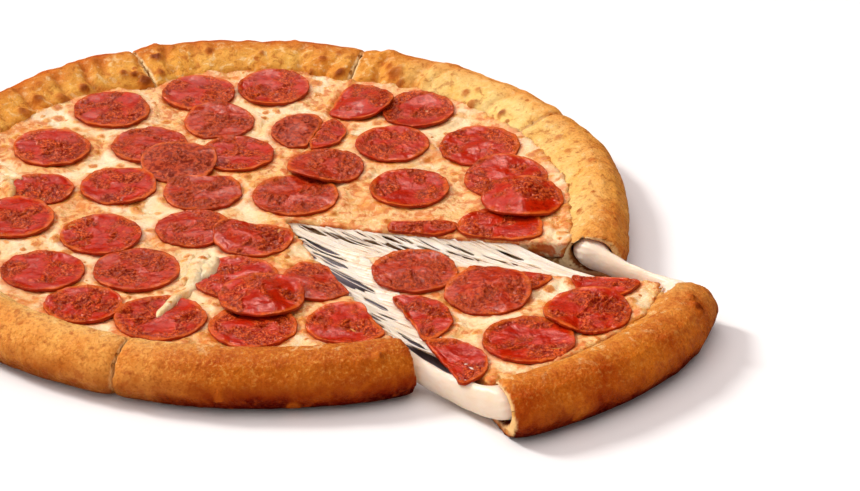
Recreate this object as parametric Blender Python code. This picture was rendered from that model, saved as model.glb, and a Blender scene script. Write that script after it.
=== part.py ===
"""A cut pepperoni pizza with a cheese-filled crust and one slice pulled part of the way out.

Metres, +Z up. The origin is the centre of the round base, on the surface that the pizza lies on.
Seven slices lie in place. The eighth has slid outward, and its melted cheese still joins it to the
others: a web of strands from the topping, and one rope of cheese that runs through the crust.
"""

import math

import bmesh
import bpy
from mathutils import Vector, noise
from mathutils.bvhtree import BVHTree

MM = 0.001

# The pizza as a whole
RIM_RADIUS = 178 * MM
RIM_WAVES = ((2, 6.2 * MM, -36), (3, 1.7 * MM, -118))  # waves round the rim, depth, turn in degrees
RIM_LUMPS = (  # angle, half width, depth
    (-142, 24, -3.8 * MM),
    (34, 18, 2.6 * MM),
    (16, 9, 3.0 * MM),
    (-12, 9, -3.4 * MM),
    (-36, 10, 2.6 * MM),
)
CRUST_HEIGHT = 24 * MM
CRUST_LUMPS = ((115, 16, 1.6 * MM), (142, 12, -1.2 * MM), (46, 18, 1.0 * MM))
CRUST_WIDTH = 33.5 * MM
CRUST_WIDTH_SWING = 5 * MM
WIDEST_CRUST = 110  # degrees
CRUST_WIDTH_LUMPS = (
    (68, 4.5, 4 * MM),
    (113, 6, 7 * MM),
    (86, 12, -2 * MM),
    (15, 14, 3 * MM),
    (-46, 13, 2 * MM),
    (-127, 14, -4 * MM),
)
BASE_THICKNESS = 7.5 * MM
CRUMB_RELIEF = 0.9 * MM
CRUMB_SCALE = 22 * MM

# The cuts. They meet a little off centre, as a hand-held cutter leaves them.
CUTS_MEET = Vector((5, -4)) * MM
CUT_ANGLES = (23, 68, 113, 158, 203, 248)
CUT_GAP = 0.4 * MM  # from a cut's line to each slice

# The gap that the pulled slice has left: its point and where its two cuts reach the rim
GAP_POINT = Vector((13, -20)) * MM
GAP_RIGHT_ANGLE = -22.5
GAP_LEFT_ANGLE = -68
PULL = Vector((36, -36.5, 0)) * MM

# The cheese on top
CHEESE_CENTRE_HEIGHT = 10.6 * MM
CHEESE_RISE = 5.0 * MM
CHEESE_RELIEF = 0.7 * MM
CHEESE_SCALE = 17 * MM
CUT_GROOVE = 1.3 * MM
CLEAR = 0.4 * MM

# The rope of cheese inside the crust
ROPE_RADIAL = 10 * MM
ROPE_VERTICAL = 7.6 * MM
ROPE_INWARD = 17.5 * MM  # from the rim to the rope's middle
ROPE_CENTRE_HEIGHT = 12.2 * MM
ROPE_SIDES = 12
ROPE_REACH = 30  # degrees of the neighbouring crusts that it fills
ROPE_FIT = 0.92  # of its full section, and its tunnel's, so that they keep apart
TUNNEL_FIT = 1.04

# The web of strands
WEB_THICKNESS = 1.1 * MM
WEB_SAG = 3.0 * MM
WEB_ROWS = 5
WEB_STRANDS_PER_SIDE = 11

# Pepperoni
PEPPERONI_DIAMETER = 38.5 * MM
PEPPERONI_THICKNESS = 1.5 * MM
PEPPERONI_DRAPE = 0.8  # 0 lies stiff on what is below it, 1 follows it everywhere
PEPPERONI_SIDES = 14
PEPPERONI_RINGS = (0.66, 1.0)
PEPPERONI_CLEARANCE = 0.45 * MM

# Columns of points across one slice, from cut to cut
COLUMNS = (0, 0.035, 0.125, 0.25, 0.375, 0.5, 0.625, 0.75, 0.875, 0.965, 1)

DOUGH_COLOUR = (0.72, 0.36, 0.09, 1)
CHEESE_COLOUR = (0.92, 0.78, 0.50, 1)
FILLING_COLOUR = (0.95, 0.84, 0.64, 1)
PEPPERONI_COLOUR = (0.50, 0.05, 0.02, 1)


def clear_scene():
    for obj in list(bpy.data.objects):
        bpy.data.objects.remove(obj, do_unlink=True)


def material(name, colour, roughness):
    made = bpy.data.materials.new(name)
    made.use_nodes = True
    shader = made.node_tree.nodes["Principled BSDF"]
    shader.inputs["Base Color"].default_value = colour
    shader.inputs["Roughness"].default_value = roughness
    shader.inputs["Metallic"].default_value = 0.0
    return made


def heading(degrees):
    angle = math.radians(degrees)
    return Vector((math.cos(angle), math.sin(angle)))


def lump(angle, centre, half_width):
    """1 at the centre angle, falling away to 0 over half_width. All in degrees."""
    away = (angle - centre + 180) % 360 - 180
    return math.exp(-((away / half_width) ** 2))


# The outline and the crust's section


def rim_radius(angle):
    waves = sum(d * math.cos(n * math.radians(angle) - math.radians(t)) for n, d, t in RIM_WAVES)
    return RIM_RADIUS + waves + sum(depth * lump(angle, centre, half) for centre, half, depth in RIM_LUMPS)


def crust_width(angle):
    width = CRUST_WIDTH + CRUST_WIDTH_SWING * math.cos(math.radians(angle - WIDEST_CRUST))
    return width + sum(depth * lump(angle, centre, half) for centre, half, depth in CRUST_WIDTH_LUMPS)


def crust_height(angle):
    return CRUST_HEIGHT + sum(rise * lump(angle, centre, half) for centre, half, rise in CRUST_LUMPS)


def cheese_height(point):
    share = min(point.length / (RIM_RADIUS - CRUST_WIDTH), 1.1)
    bumps = noise.noise(Vector((point.x, point.y, 0)) / CHEESE_SCALE)
    return CHEESE_CENTRE_HEIGHT + CHEESE_RISE * share**3 + CHEESE_RELIEF * bumps


def angle_of(point):
    return math.degrees(math.atan2(point.y, point.x))


def reach_to_rim(bearing):
    """Distance from where the cuts meet to the rim, along a bearing in degrees."""
    reach = RIM_RADIUS
    for _ in range(4):
        point = CUTS_MEET + heading(bearing) * reach
        reach += rim_radius(angle_of(point)) - point.length
    return reach


# The cuts, as a bearing from where they meet, for each distance from there


def rim_point(angle):
    return heading(angle) * rim_radius(angle)


def cut_bearing(rim_angle, distance, bent=False):
    """Bearing of a cut at a distance from where the cuts meet. A bent cut goes by the gap's point first."""
    if not bent:
        return angle_of(rim_point(rim_angle) - CUTS_MEET)
    start = GAP_POINT - CUTS_MEET
    if distance <= start.length:
        return angle_of(start)
    along = (rim_point(rim_angle) - GAP_POINT).normalized()
    lead = start.dot(along)
    run = -lead + math.sqrt(lead**2 - start.length_squared + distance**2)
    return angle_of(start + along * run)


def side_bearing(side, distance, gap):
    """Bearing of a slice's side, moved off the cut's line by gap, to the left if gap is positive."""
    rim_angle, bent, turns = side
    offset = math.degrees(math.asin(max(-0.9, min(0.9, gap / distance))))
    return cut_bearing(rim_angle, distance, bent) + turns + offset


def slice_sides():
    """The two sides of each slice, counted round from the gap: (rim angle, bent, whole turns)."""
    cuts = [(GAP_RIGHT_ANGLE, True, 0)]
    cuts += [(angle, False, 0 if angle < 180 else 360) for angle in CUT_ANGLES]
    cuts += [(GAP_LEFT_ANGLE, True, 360)]
    return list(zip(cuts[:-1], cuts[1:]))


def bearing_at(sides, share, distance, gap):
    first = side_bearing(sides[0], distance, gap)
    last = side_bearing(sides[1], distance, -gap)
    return first + (last - first) * share


def place(sides, share, inward=None, distance=None, gap=CUT_GAP):
    """A point of a slice, by its share of the way across and its distance in from the rim or out from the middle."""
    if distance is None:
        distance = RIM_RADIUS - inward
        for _ in range(4):
            bearing = bearing_at(sides, share, distance, gap)
            distance = reach_to_rim(bearing) - inward
    bearing = bearing_at(sides, share, distance, gap)
    return CUTS_MEET + heading(bearing) * distance


# Solids


def finish_mesh(name, mesh_data, finish, smooth=True):
    """Closes a bmesh into a named object with its faces outward."""
    bmesh.ops.remove_doubles(mesh_data, verts=mesh_data.verts, dist=1e-6)
    bmesh.ops.recalc_face_normals(mesh_data, faces=mesh_data.faces)
    mesh = bpy.data.meshes.new(name)
    mesh_data.to_mesh(mesh)
    mesh_data.free()
    mesh.materials.append(finish)
    if smooth:
        mesh.shade_smooth()
        mesh.set_sharp_from_angle(angle=math.radians(50))
    obj = bpy.data.objects.new(name, mesh)
    bpy.context.scene.collection.objects.link(obj)
    return obj


def loft(name, rings, finish, ends=None):
    """A closed solid through rings of the same number of points. Its ends are flat, in one face or several."""
    mesh_data = bmesh.new()
    rows = [[mesh_data.verts.new(point) for point in ring] for ring in rings]
    count = len(rows[0])
    for near, far in zip(rows[:-1], rows[1:]):
        for i in range(count):
            j = (i + 1) % count
            mesh_data.faces.new((near[i], near[j], far[j], far[i]))
    for end in ends or (range(count),):
        mesh_data.faces.new([rows[0][i] for i in end])
        mesh_data.faces.new([rows[-1][i] for i in reversed(end)])
    return finish_mesh(name, mesh_data, finish)


def slab(name, faces, top, bottom, finish, flat_bottom=False):
    """A closed solid from one sheet of faces, drawn once at its top points and once at its bottom points."""
    mesh_data = bmesh.new()
    upper = [mesh_data.verts.new(point) for point in top]
    lower = [mesh_data.verts.new(point) for point in bottom]
    used = {}
    for face in faces:
        mesh_data.faces.new([upper[i] for i in face])
        mesh_data.faces.new([lower[i] for i in reversed(face)])
        for a, b in zip(face, face[1:] + face[:1]):
            used[frozenset((a, b))] = None if frozenset((a, b)) in used else (a, b)
    for edge in filter(None, used.values()):
        a, b = edge
        mesh_data.faces.new((upper[b], upper[a], lower[a], lower[b]))
    if flat_bottom:
        mesh_data.faces.ensure_lookup_table()
        level = min(point.z for point in bottom)
        under = [f for f in mesh_data.faces if all(abs(v.co.z - level) < 1e-7 for v in f.verts)]
        bmesh.ops.dissolve_faces(mesh_data, faces=under)
    return finish_mesh(name, mesh_data, finish)


# The dough


def dough_section(share, sides, shift):
    """The closed outline of a slice of dough at one share of the way across it, from tip to rim and back."""
    at_rim = place(sides, share, inward=0)
    angle = angle_of(at_rim)
    width, height = crust_width(angle), crust_height(angle)
    end = math.exp(-((min(share, 1 - share) / 0.03) ** 2))
    tuck, drop = 1.6 * MM * end, 1.6 * MM * end
    if sides is PULLED_SIDES:
        drop += 2.6 * MM * math.exp(-(((1 - share) / 0.1) ** 2))
    bend = (GAP_POINT - CUTS_MEET).length
    tip = 2.2 * MM
    if sides is PULLED_SIDES:
        tip, bend = bend + 1.5 * MM, bend + 30 * MM
    profile = (
        (8 * MM + tuck, 0),
        (2.4 * MM + tuck, 3.4 * MM),
        (0 + tuck, 9.8 * MM),
        (1.6 * MM + tuck, 16 * MM - drop),
        (6.5 * MM, height - 2.4 * MM - drop),
        (13.5 * MM, height - drop),
        (20.5 * MM, height - 0.9 * MM - drop),
        (width * 0.76, height - 3.4 * MM - drop),
        (width * 0.93, 17.6 * MM - drop / 2),
        (width * 0.96 + 0.8 * MM, 13 * MM),
        (width + 2 * MM, BASE_THICKNESS),
    )
    points = []
    for inward, z in profile:
        at = place(sides, share, inward=inward)
        relief = noise.noise(Vector((at.x, at.y, z)) / CRUMB_SCALE) * CRUMB_RELIEF
        lift = relief if 12 * MM < z and inward < width * 0.9 else 0
        points.append(Vector((at.x, at.y, z + lift)) + shift)
    for distance in (bend, tip):
        at = place(sides, share, distance=distance)
        points.append(Vector((at.x, at.y, BASE_THICKNESS)) + shift)
    for distance in (tip, bend):
        at = place(sides, share, distance=distance)
        points.append(Vector((at.x, at.y, 0)) + shift)
    return points


PULLED_SIDES = ((GAP_LEFT_ANGLE, True, 0), (GAP_RIGHT_ANGLE, True, 0))
IN_PLACE = Vector((0, 0, 0))
SLICE_ENDS = ((0, 1, 2, 3, 4, 5, 6, 7, 8, 9, 10, 11, 14), (11, 12, 13, 14))  # the part by the tip bends away


def crust_slice(name, sides, shift, finish):
    return loft(name, [dough_section(share, sides, shift) for share in COLUMNS], finish, SLICE_ENDS)


# The rope of cheese through the crust, and the tunnel that it lies in


def rope_ring(angle, shift, size, across=None):
    """An oval section of the rope at a rim angle, square across the crust unless another way is given."""
    across = across or heading(angle)
    middle = rim_point(angle) - across * ROPE_INWARD
    ring = []
    for side in range(ROPE_SIDES):
        turn = 2 * math.pi * side / ROPE_SIDES
        at = middle + across * (ROPE_RADIAL * size * math.cos(turn))
        ring.append(Vector((at.x, at.y, ROPE_CENTRE_HEIGHT + ROPE_VERTICAL * size * math.sin(turn))) + shift)
    return ring


def spread(first, last, count):
    return [first + (last - first) * i / (count - 1) for i in range(count)]


def bridge(start, end, waist, sag, count):
    """Rings between two rings, drawn out thin and sagging in the middle."""
    rings = []
    for step in range(1, count + 1):
        share = step / (count + 1)
        belly = 4 * share * (1 - share)
        ring = [a.lerp(b, share) for a, b in zip(start, end)]
        middle = sum(ring, Vector()) / len(ring)
        keep = 1 - (1 - waist) * belly
        ring = [middle + (point - middle) * keep - Vector((0, 0, sag * belly)) for point in ring]
        rings.append(ring)
    return rings


def crust_rope(finish):
    """One rope: out of the left neighbour's crust, through the pulled slice's, into the right neighbour's."""
    left_cut = (rim_point(GAP_LEFT_ANGLE) - GAP_POINT).normalized()
    right_cut = (rim_point(GAP_RIGHT_ANGLE) - GAP_POINT).normalized()
    left_mouths = [rope_ring(GAP_LEFT_ANGLE, shift, ROPE_FIT, left_cut) for shift in (IN_PLACE, PULL)]
    right_mouths = [rope_ring(GAP_RIGHT_ANGLE, shift, ROPE_FIT, right_cut) for shift in (PULL, IN_PLACE)]
    left, right = GAP_LEFT_ANGLE, GAP_RIGHT_ANGLE
    rings = [rope_ring(angle, IN_PLACE, ROPE_FIT) for angle in spread(left - ROPE_REACH, left - 5, 5)]
    rings += left_mouths[:1] + bridge(*left_mouths, 0.94, 3.4 * MM, 5) + left_mouths[1:]
    rings += [rope_ring(angle, PULL, ROPE_FIT) for angle in spread(left + 5, right - 5, 7)]
    rings += right_mouths[:1] + bridge(*right_mouths, 0.72, 1.0 * MM, 5) + right_mouths[1:]
    rings += [rope_ring(angle, IN_PLACE, ROPE_FIT) for angle in spread(right + 5, right + ROPE_REACH, 5)]
    return loft("crust_cheese", rings, finish)


def tunnel(name, first, last, shift, count):
    """A cutter for the hollow that the rope fills, a little larger than the rope."""
    rings = [rope_ring(angle, shift, TUNNEL_FIT) for angle in spread(first, last, count)]
    return loft(name, rings, bpy.data.materials["dough"])


def hollow(obj, cutter):
    """Cuts the cutter out of an object, then throws the cutter away."""
    cut = obj.modifiers.new("tunnel", "BOOLEAN")
    cut.operation = "DIFFERENCE"
    cut.solver = "EXACT"
    cut.object = cutter
    shape = obj.evaluated_get(bpy.context.evaluated_depsgraph_get())
    obj.data = bpy.data.meshes.new_from_object(shape)
    obj.modifiers.clear()
    bpy.data.objects.remove(cutter, do_unlink=True)


# The cheese on top


def cheese_limit(sides, share, gap):
    """The cheese's outer edge at its top and at its bottom, as distances in from the rim."""
    width = crust_width(angle_of(place(sides, share, inward=0, gap=gap)))
    return width * 0.95 + 3 * CLEAR, width + 2 * MM + 2.5 * CLEAR


SPREAD_OUT = (0.12, 0.22, 0.36, 0.5, 0.63, 0.76, 0.88, 1.0)


def cheese_column(sides, share, gap, shift, groove, first_distance):
    """Top and bottom points of the cheese along one line from the middle to the crust."""
    top, bottom = [], []
    high, low = cheese_limit(sides, share, gap)
    reach = (place(sides, share, inward=high, gap=gap) - CUTS_MEET).length
    for out in SPREAD_OUT:
        distance = first_distance + (reach - first_distance) * out
        last = out == SPREAD_OUT[-1]
        at = place(sides, share, distance=distance, gap=gap)
        under = place(sides, share, inward=low, gap=gap) if last else at
        sink = groove * min(1, distance / (30 * MM))
        top.append(Vector((at.x, at.y, cheese_height(at) - sink)) + shift)
        bottom.append(Vector((under.x, under.y, BASE_THICKNESS + CLEAR)) + shift)
    return top, bottom


def cheese_sheet(name, columns, middle, closed_inner_rows, finish, shift):
    """A sheet from a middle point out along columns. The first and last columns meet in the inner rows."""
    rows = len(SPREAD_OUT)
    top = [Vector((middle.x, middle.y, cheese_height(middle))) + shift]
    bottom = [Vector((middle.x, middle.y, BASE_THICKNESS + CLEAR)) + shift]
    for upper, lower in columns:
        top += upper
        bottom += lower
    index = [[1 + c * rows + r for r in range(rows)] for c in range(len(columns))]
    for r in range(closed_inner_rows):
        index[-1][r] = index[0][r]
    faces = []
    for near, far in zip(index[:-1], index[1:]):
        faces.append([0, near[0], far[0]])
        for r in range(rows - 1):
            faces.append([near[r], near[r + 1], far[r + 1], far[r]])
    return slab(name, faces, top, bottom, finish, flat_bottom=True)


def topping_cheese(finish):
    """The cheese of the seven slices in place, melted together again, with a groove over each cut."""
    columns = []
    start = (GAP_POINT - CUTS_MEET).length
    slices = slice_sides()
    for number, sides in enumerate(slices):
        first, last = number == 0, number == len(slices) - 1
        for share in COLUMNS if last else COLUMNS[:-1]:
            on_cut = (share == 0 and not first) or (share == 1 and not last)
            groove = CUT_GROOVE if on_cut else 0
            gap = CUT_GAP if (first and share < 0.5) or (last and share > 0.5) else 0
            columns.append(cheese_column(sides, share, gap, IN_PLACE, groove, 0))
    reach = (columns[0][0][-1].xy - CUTS_MEET).length
    closed = sum(out * reach <= start for out in SPREAD_OUT)
    return cheese_sheet("cheese_top", columns, CUTS_MEET, closed, finish, IN_PLACE)


def pulled_cheese(finish):
    start = (GAP_POINT - CUTS_MEET).length + 2 * MM
    columns = [cheese_column(PULLED_SIDES, share, CUT_GAP, PULL, 0, start) for share in COLUMNS]
    tip = place(PULLED_SIDES, 0.5, distance=start)
    return cheese_sheet("cheese_pulled_slice", columns, tip, 0, finish, PULL)


# The web of strands between the pulled slice and the rest


def web_edge(side, along):
    """A point on the gap's edge: along runs from 0 at its point to 1 at the crust."""
    rim_angle, bent, turns = side
    inward = crust_width(rim_angle) + 4 * MM
    length = (rim_point(rim_angle) - GAP_POINT).length
    return GAP_POINT.lerp(rim_point(rim_angle), along * (1 - inward / length))


def cheese_strands(finish):
    """A lace sheet: strands drawn the way the slice moved, with long holes between most of them."""
    left, right = PULLED_SIDES
    steps = spread(1, 0, 2 * WEB_STRANDS_PER_SIDE)
    ridge = [(left, along) for along in steps] + [(right, along) for along in reversed(steps[:-1])]
    top, bottom, faces = [], [], []
    for side, along in ridge:
        start = web_edge(side, along)
        run = PULL.xy
        edge_way = (web_edge(side, 1) - GAP_POINT).normalized()
        square = abs(run.x * edge_way.y - run.y * edge_way.x)
        margin = 1.3 * CLEAR / square if along > 0 else 0.12
        for row in range(WEB_ROWS + 1):
            share = margin + (1 - 2 * margin) * row / WEB_ROWS
            at = start + run * share
            belly = 4 * share * (1 - share)
            height = cheese_height(start + run * 0.0) - 1.2 * MM - WEB_SAG * belly
            top.append(Vector((at.x, at.y, height)))
            bottom.append(Vector((at.x, at.y, height - WEB_THICKNESS)))
    rows = WEB_ROWS + 1
    for column in range(len(ridge) - 1):
        open_from = 1 + column % 3 % 2
        open_to = WEB_ROWS - (column % 5 == 3)
        for row in range(WEB_ROWS):
            gap_here = column % 2 == 1 and open_from <= row < open_to
            if gap_here:
                continue
            a = column * rows + row
            faces.append([a, a + 1, a + rows + 1, a + rows])
    return slab("cheese_strands", faces, top, bottom, finish)


# Pepperoni

# Each piece of sausage: x and y of its round's centre in mm, its size beside the usual diameter, how far
# its rim curls up in mm, and the lines that it is cut off at: the name of one of the pizza's own cuts,
# or a bearing and a distance in mm from its centre. Later ones lie on earlier ones.
PEPPERONI = (
    ("01", -74, 96, 1.02, 2.0, ()),
    ("02", -29, 115, 1, 1.8, ()),
    ("03", -18, 83, 0.94, 1.5, ()),
    ("04", -102, 55, 1, 1.8, ()),
    ("05", -53, 58, 1, 1.8, ()),
    ("07", -9, 47, 0.97, 1.6, ()),
    ("06", -38, 37, 0.98, 1.2, ()),
    ("08", -67, 15, 0.96, 2.0, ()),
    ("09", -104, 12, 0.8, 1.2, ()),
    ("10", -115, -18, 1, 1.5, ()),
    ("11", -26, 8.5, 0.99, 1.2, ((95, 13.5),)),
    ("12", -30, -29, 0.92, 1.8, ()),
    ("13", -73, -34, 0.98, 1.8, ()),
    ("15", -2, -38, 0.98, 1.0, ((82, 11), "left_cut_outside")),
    ("16", -97, -69, 0.97, 1.6, ()),
    ("17", -55, -68, 1.02, 1.6, ()),
    ("18", -77, -101, 0.89, 1.5, ()),
    ("19", -43, -114, 1.03, 1.6, ()),
    ("20", -10, -77, 1, 1.2, ()),
    ("22", 28, -82, 0.95, 1.4, ((20, 9), "left_cut_outside")),
    ("23", -3, -123, 1, 1.4, ()),
    ("21", 1, -99, 0.99, 1.4, ()),
    ("24", 39, -124, 1, 1.4, ((16, 10.5), "left_cut_outside")),
    ("25", 11, 119, 0.99, 2.0, ()),
    ("27", 86, 87, 0.99, 1.8, ()),
    ("26", 55, 100, 1, 1.6, ("cut_68_right",)),
    ("28", 28, 70, 1, 1.4, ("cut_68_left",)),
    ("29", 28, 70, 1, 1.4, ("cut_68_right",)),
    ("30", 70, 52, 0.98, 2.0, ()),
    ("32", 19, 2, 1.08, 1.4, ()),
    ("31", 35, 31, 1, 1.4, ()),
    ("33", 75, 4, 1.01, 2.2, ()),
    ("34", 114, 44, 1.06, 1.4, ()),
    ("35", 123, 8, 1.07, 1.6, ()),
    ("37", 114, -42, 1.06, 1.4, ("right_cut_outside",)),
    ("36", 128, -17, 1.03, 1.4, ()),
    ("38", 75, -32, 1, 1.4, ((90, 3), "right_cut_outside")),
)
PEPPERONI_ON_PULLED_SLICE = (
    ("42", 64, -118, 1.04, 1.2, ((197, -1),)),
    ("43", 75, -158, 1.04, 1.2, ((198, -2),)),
    ("44", 114.6, -142.6, 1.03, 1.8, ()),
    ("46", 152, -92, 1.04, 1.4, ((180, 10), "right_cut_inside")),
    ("47", 114, -79, 1.04, 1.4, ("right_cut_inside",)),
    ("45", 143, -123, 1, 1.6, ()),
    ("41", 102, -98, 1.01, 1.4, ()),
    ("40", 71, -75, 1.02, 1.4, ()),
)


def outline_reach(bearing, centre_offset, radius, lines):
    """Distance from a piece's inner point to its round edge, or to a line that cuts it off if that is nearer."""
    way = heading(bearing)
    lead = centre_offset.dot(way)
    reach = lead + math.sqrt(lead**2 - centre_offset.length_squared + radius**2)
    for normal, distance in lines:
        closing = way.dot(normal)
        if closing > 1e-6:
            reach = min(reach, distance / closing)
    return reach


def sausage_piece(centre, radius, curl, lines):
    """Plan points and curl heights of one piece of pepperoni. Lines are normals, and distances from its centre."""
    inner = centre.copy()
    for normal, distance in lines:
        if distance < radius:
            inner -= normal * (radius - distance) / 2
    lines = [(normal, distance - (inner - centre).dot(normal)) for normal, distance in lines]
    offset = centre - inner
    points = [(inner, curl * (offset.length / radius) ** 3)]
    for ring in PEPPERONI_RINGS:
        for side in range(PEPPERONI_SIDES):
            bearing = 360 * side / PEPPERONI_SIDES + 4
            reach = outline_reach(bearing, offset, radius, lines) * ring
            at = inner + heading(bearing) * reach
            points.append((at, curl * min(1, (at - centre).length / radius) ** 3))
    return points


def disc_faces():
    sides = PEPPERONI_SIDES
    faces = [[0, 1 + i, 1 + (i + 1) % sides] for i in range(sides)]
    for ring in range(len(PEPPERONI_RINGS) - 1):
        start = 1 + ring * sides
        for i in range(sides):
            j = (i + 1) % sides
            faces.append([start + i, start + i + sides, start + j + sides])
            faces.append([start + i, start + j + sides, start + j])
    return faces


def support_under(pile, at, shift):
    """Height of the top of what already lies at a place, or of the cheese as it was before the slice was pulled."""
    hits = [tree.ray_cast(Vector((at.x, at.y, 0.1)), Vector((0, 0, -1)))[0] for tree in pile]
    return max([hit.z for hit in hits if hit] + [cheese_height(at - shift.xy)])


def lean_plane(samples):
    """Least-squares slope of the support under a disc, as a rise for each metre in x and in y."""
    count = len(samples)
    middle = sum((s[0] for s in samples), Vector((0, 0))) / count
    level = sum(s[1] for s in samples) / count
    xx = xy = yy = xz = yz = 0.0
    for at, z in samples:
        dx, dy, dz = at.x - middle.x, at.y - middle.y, z - level
        xx, xy, yy = xx + dx * dx, xy + dx * dy, yy + dy * dy
        xz, yz = xz + dx * dz, yz + dy * dz
    across = xx * yy - xy * xy
    return (xz * yy - yz * xy) / across, (yz * xx - xz * xy) / across


def lay_pepperoni(name, plan, shift, pile, finish):
    """Drapes one piece of pepperoni over what lies under it, clear of it everywhere, and adds it to the pile."""
    faces = disc_faces()
    samples = [(at, support_under(pile, at, shift)) for at, _ in plan]
    slope_x, slope_y = lean_plane(samples)
    flat = [slope_x * at.x + slope_y * at.y for at, _ in plan]
    middle_flat, middle_support = sum(flat) / len(flat), sum(z for _, z in samples) / len(samples)
    heights = []
    for rest, (_, support), (_, curl) in zip(flat, samples, plan):
        stiff = middle_support + rest - middle_flat
        heights.append(stiff + (support - stiff) * PEPPERONI_DRAPE + curl + PEPPERONI_CLEARANCE)
    spots = []
    for face in faces:
        corners = [plan[i][0] for i in face]
        for a in spread(0, 1, 9):
            for b in spread(0, 1, 9):
                weights = [(1 - a) * (1 - b), a, (1 - a) * b]
                at = sum((corner * weight for corner, weight in zip(corners, weights)), Vector((0, 0)))
                spots.append((face, weights, support_under(pile, at, shift) + PEPPERONI_CLEARANCE))
    for _ in range(6):
        for face, weights, needed in spots:
            short = needed - sum(weight * heights[i] for i, weight in zip(face, weights))
            if short > 0:
                for i in face:
                    heights[i] += short
    bottom = [Vector((at.x, at.y, height)) for (at, _), height in zip(plan, heights)]
    top = [point + Vector((0, 0, PEPPERONI_THICKNESS)) for point in bottom]
    obj = slab(name, faces, top, bottom, finish)
    pile.append(tree_of(obj))
    return obj


def tree_of(obj):
    mesh = obj.data
    return BVHTree.FromPolygons([v.co for v in mesh.vertices], [tuple(p.vertices) for p in mesh.polygons])


def cut_line(rim_angle, start, keep_left):
    """A cut as a point on it and the normal that points off the side that is kept."""
    along = (rim_point(rim_angle) - start).normalized()
    return start, Vector((along.y, -along.x)) if keep_left else Vector((-along.y, along.x))


def all_pepperoni(pile, finish):
    cuts = {
        "left_cut_outside": cut_line(GAP_LEFT_ANGLE, GAP_POINT, keep_left=False),
        "right_cut_outside": cut_line(GAP_RIGHT_ANGLE, GAP_POINT, keep_left=True),
        "right_cut_inside": cut_line(GAP_RIGHT_ANGLE, GAP_POINT, keep_left=False),
        "cut_68_left": cut_line(68, CUTS_MEET, keep_left=True),
        "cut_68_right": cut_line(68, CUTS_MEET, keep_left=False),
    }
    for pieces, shift in ((PEPPERONI, IN_PLACE), (PEPPERONI_ON_PULLED_SLICE, PULL)):
        for label, x, y, size, curl, cut_off in pieces:
            centre = Vector((x, y)) * MM
            lines = []
            for line in cut_off:
                if line in cuts:
                    through, normal = cuts[line]
                    lines.append((normal, (through + shift.xy - centre).dot(normal) - CUT_GAP))
                else:
                    lines.append((heading(line[0]), line[1] * MM))
            points = sausage_piece(centre, size * PEPPERONI_DIAMETER / 2, curl * MM, lines)
            lay_pepperoni("pepperoni_" + label, points, shift, pile, finish)


def build():
    clear_scene()
    dough = material("dough", DOUGH_COLOUR, 0.6)
    cheese = material("cheese", CHEESE_COLOUR, 0.4)
    filling = material("crust_filling", FILLING_COLOUR, 0.35)
    meat = material("pepperoni", PEPPERONI_COLOUR, 0.35)
    crusts = []
    for number, sides in enumerate(slice_sides(), start=1):
        crusts.append(crust_slice("crust_" + str(number), sides, IN_PLACE, dough))
    pulled = crust_slice("crust_pulled_slice", PULLED_SIDES, PULL, dough)
    hollow(pulled, tunnel("tunnel_pulled", GAP_LEFT_ANGLE - 3, GAP_RIGHT_ANGLE + 3, PULL, 11))
    reach = ROPE_REACH + 1
    hollow(crusts[-1], tunnel("tunnel_left", GAP_LEFT_ANGLE - reach, GAP_LEFT_ANGLE + 3, IN_PLACE, 8))
    hollow(crusts[0], tunnel("tunnel_right", GAP_RIGHT_ANGLE - 3, GAP_RIGHT_ANGLE + reach, IN_PLACE, 8))
    tops = [topping_cheese(cheese), pulled_cheese(cheese)]
    crust_rope(filling)
    tops.append(cheese_strands(filling))
    pile = [tree_of(obj) for obj in tops]
    all_pepperoni(pile, meat)


build()
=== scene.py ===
# %% [markdown]
# A cut pizza, dressed for its portrait. The solid model gives the true size and place of every slice of
# dough, sheet of cheese and round of sausage, but its faces are flat and bare. Here each one gets the
# surface that an oven gives it: blisters, browned spots, wrinkles, oil and stretched threads of cheese.
# We start by loading the model as a fixed frame. The looks may not outgrow it.

# %% Load the frame
import math

import bmesh
import bpy
import numpy as np
from mathutils import Matrix, Vector, noise
from mathutils.bvhtree import BVHTree


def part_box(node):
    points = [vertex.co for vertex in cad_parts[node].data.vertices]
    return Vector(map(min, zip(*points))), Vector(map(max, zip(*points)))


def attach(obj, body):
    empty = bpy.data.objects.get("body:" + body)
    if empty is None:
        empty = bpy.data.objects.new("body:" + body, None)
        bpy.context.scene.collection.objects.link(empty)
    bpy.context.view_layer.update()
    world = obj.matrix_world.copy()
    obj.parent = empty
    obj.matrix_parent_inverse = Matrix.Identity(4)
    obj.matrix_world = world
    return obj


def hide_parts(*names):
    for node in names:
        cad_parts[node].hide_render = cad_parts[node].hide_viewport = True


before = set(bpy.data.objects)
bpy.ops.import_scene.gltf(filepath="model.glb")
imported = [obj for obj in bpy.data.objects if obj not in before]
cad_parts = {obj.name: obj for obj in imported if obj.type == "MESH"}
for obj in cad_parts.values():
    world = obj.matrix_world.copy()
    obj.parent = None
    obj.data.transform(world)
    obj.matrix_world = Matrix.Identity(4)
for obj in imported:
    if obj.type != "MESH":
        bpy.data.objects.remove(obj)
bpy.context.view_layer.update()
MM = 0.001
PULL = Vector((36, -36.5, 0)) * MM  # how far the one slice has been pulled out
GAP_POINT = Vector((13, -20, 0)) * MM  # where the gap starts, near the middle
LEFT_CUT_END = Vector((67.2, -166.4, 0)) * MM
RIGHT_CUT_END = Vector((165.6, -68.6, 0)) * MM
print("nodes:", len(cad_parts))

# %% [markdown]
# The camera stands where the photographer stood: low over the front edge, far enough away for a long lens.
# A long lens keeps the near and the far crust almost the same size. The camera's turn is worked out from
# the point that it looks at, and then it rolls by about a degree, as a hand-held camera does.

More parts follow.
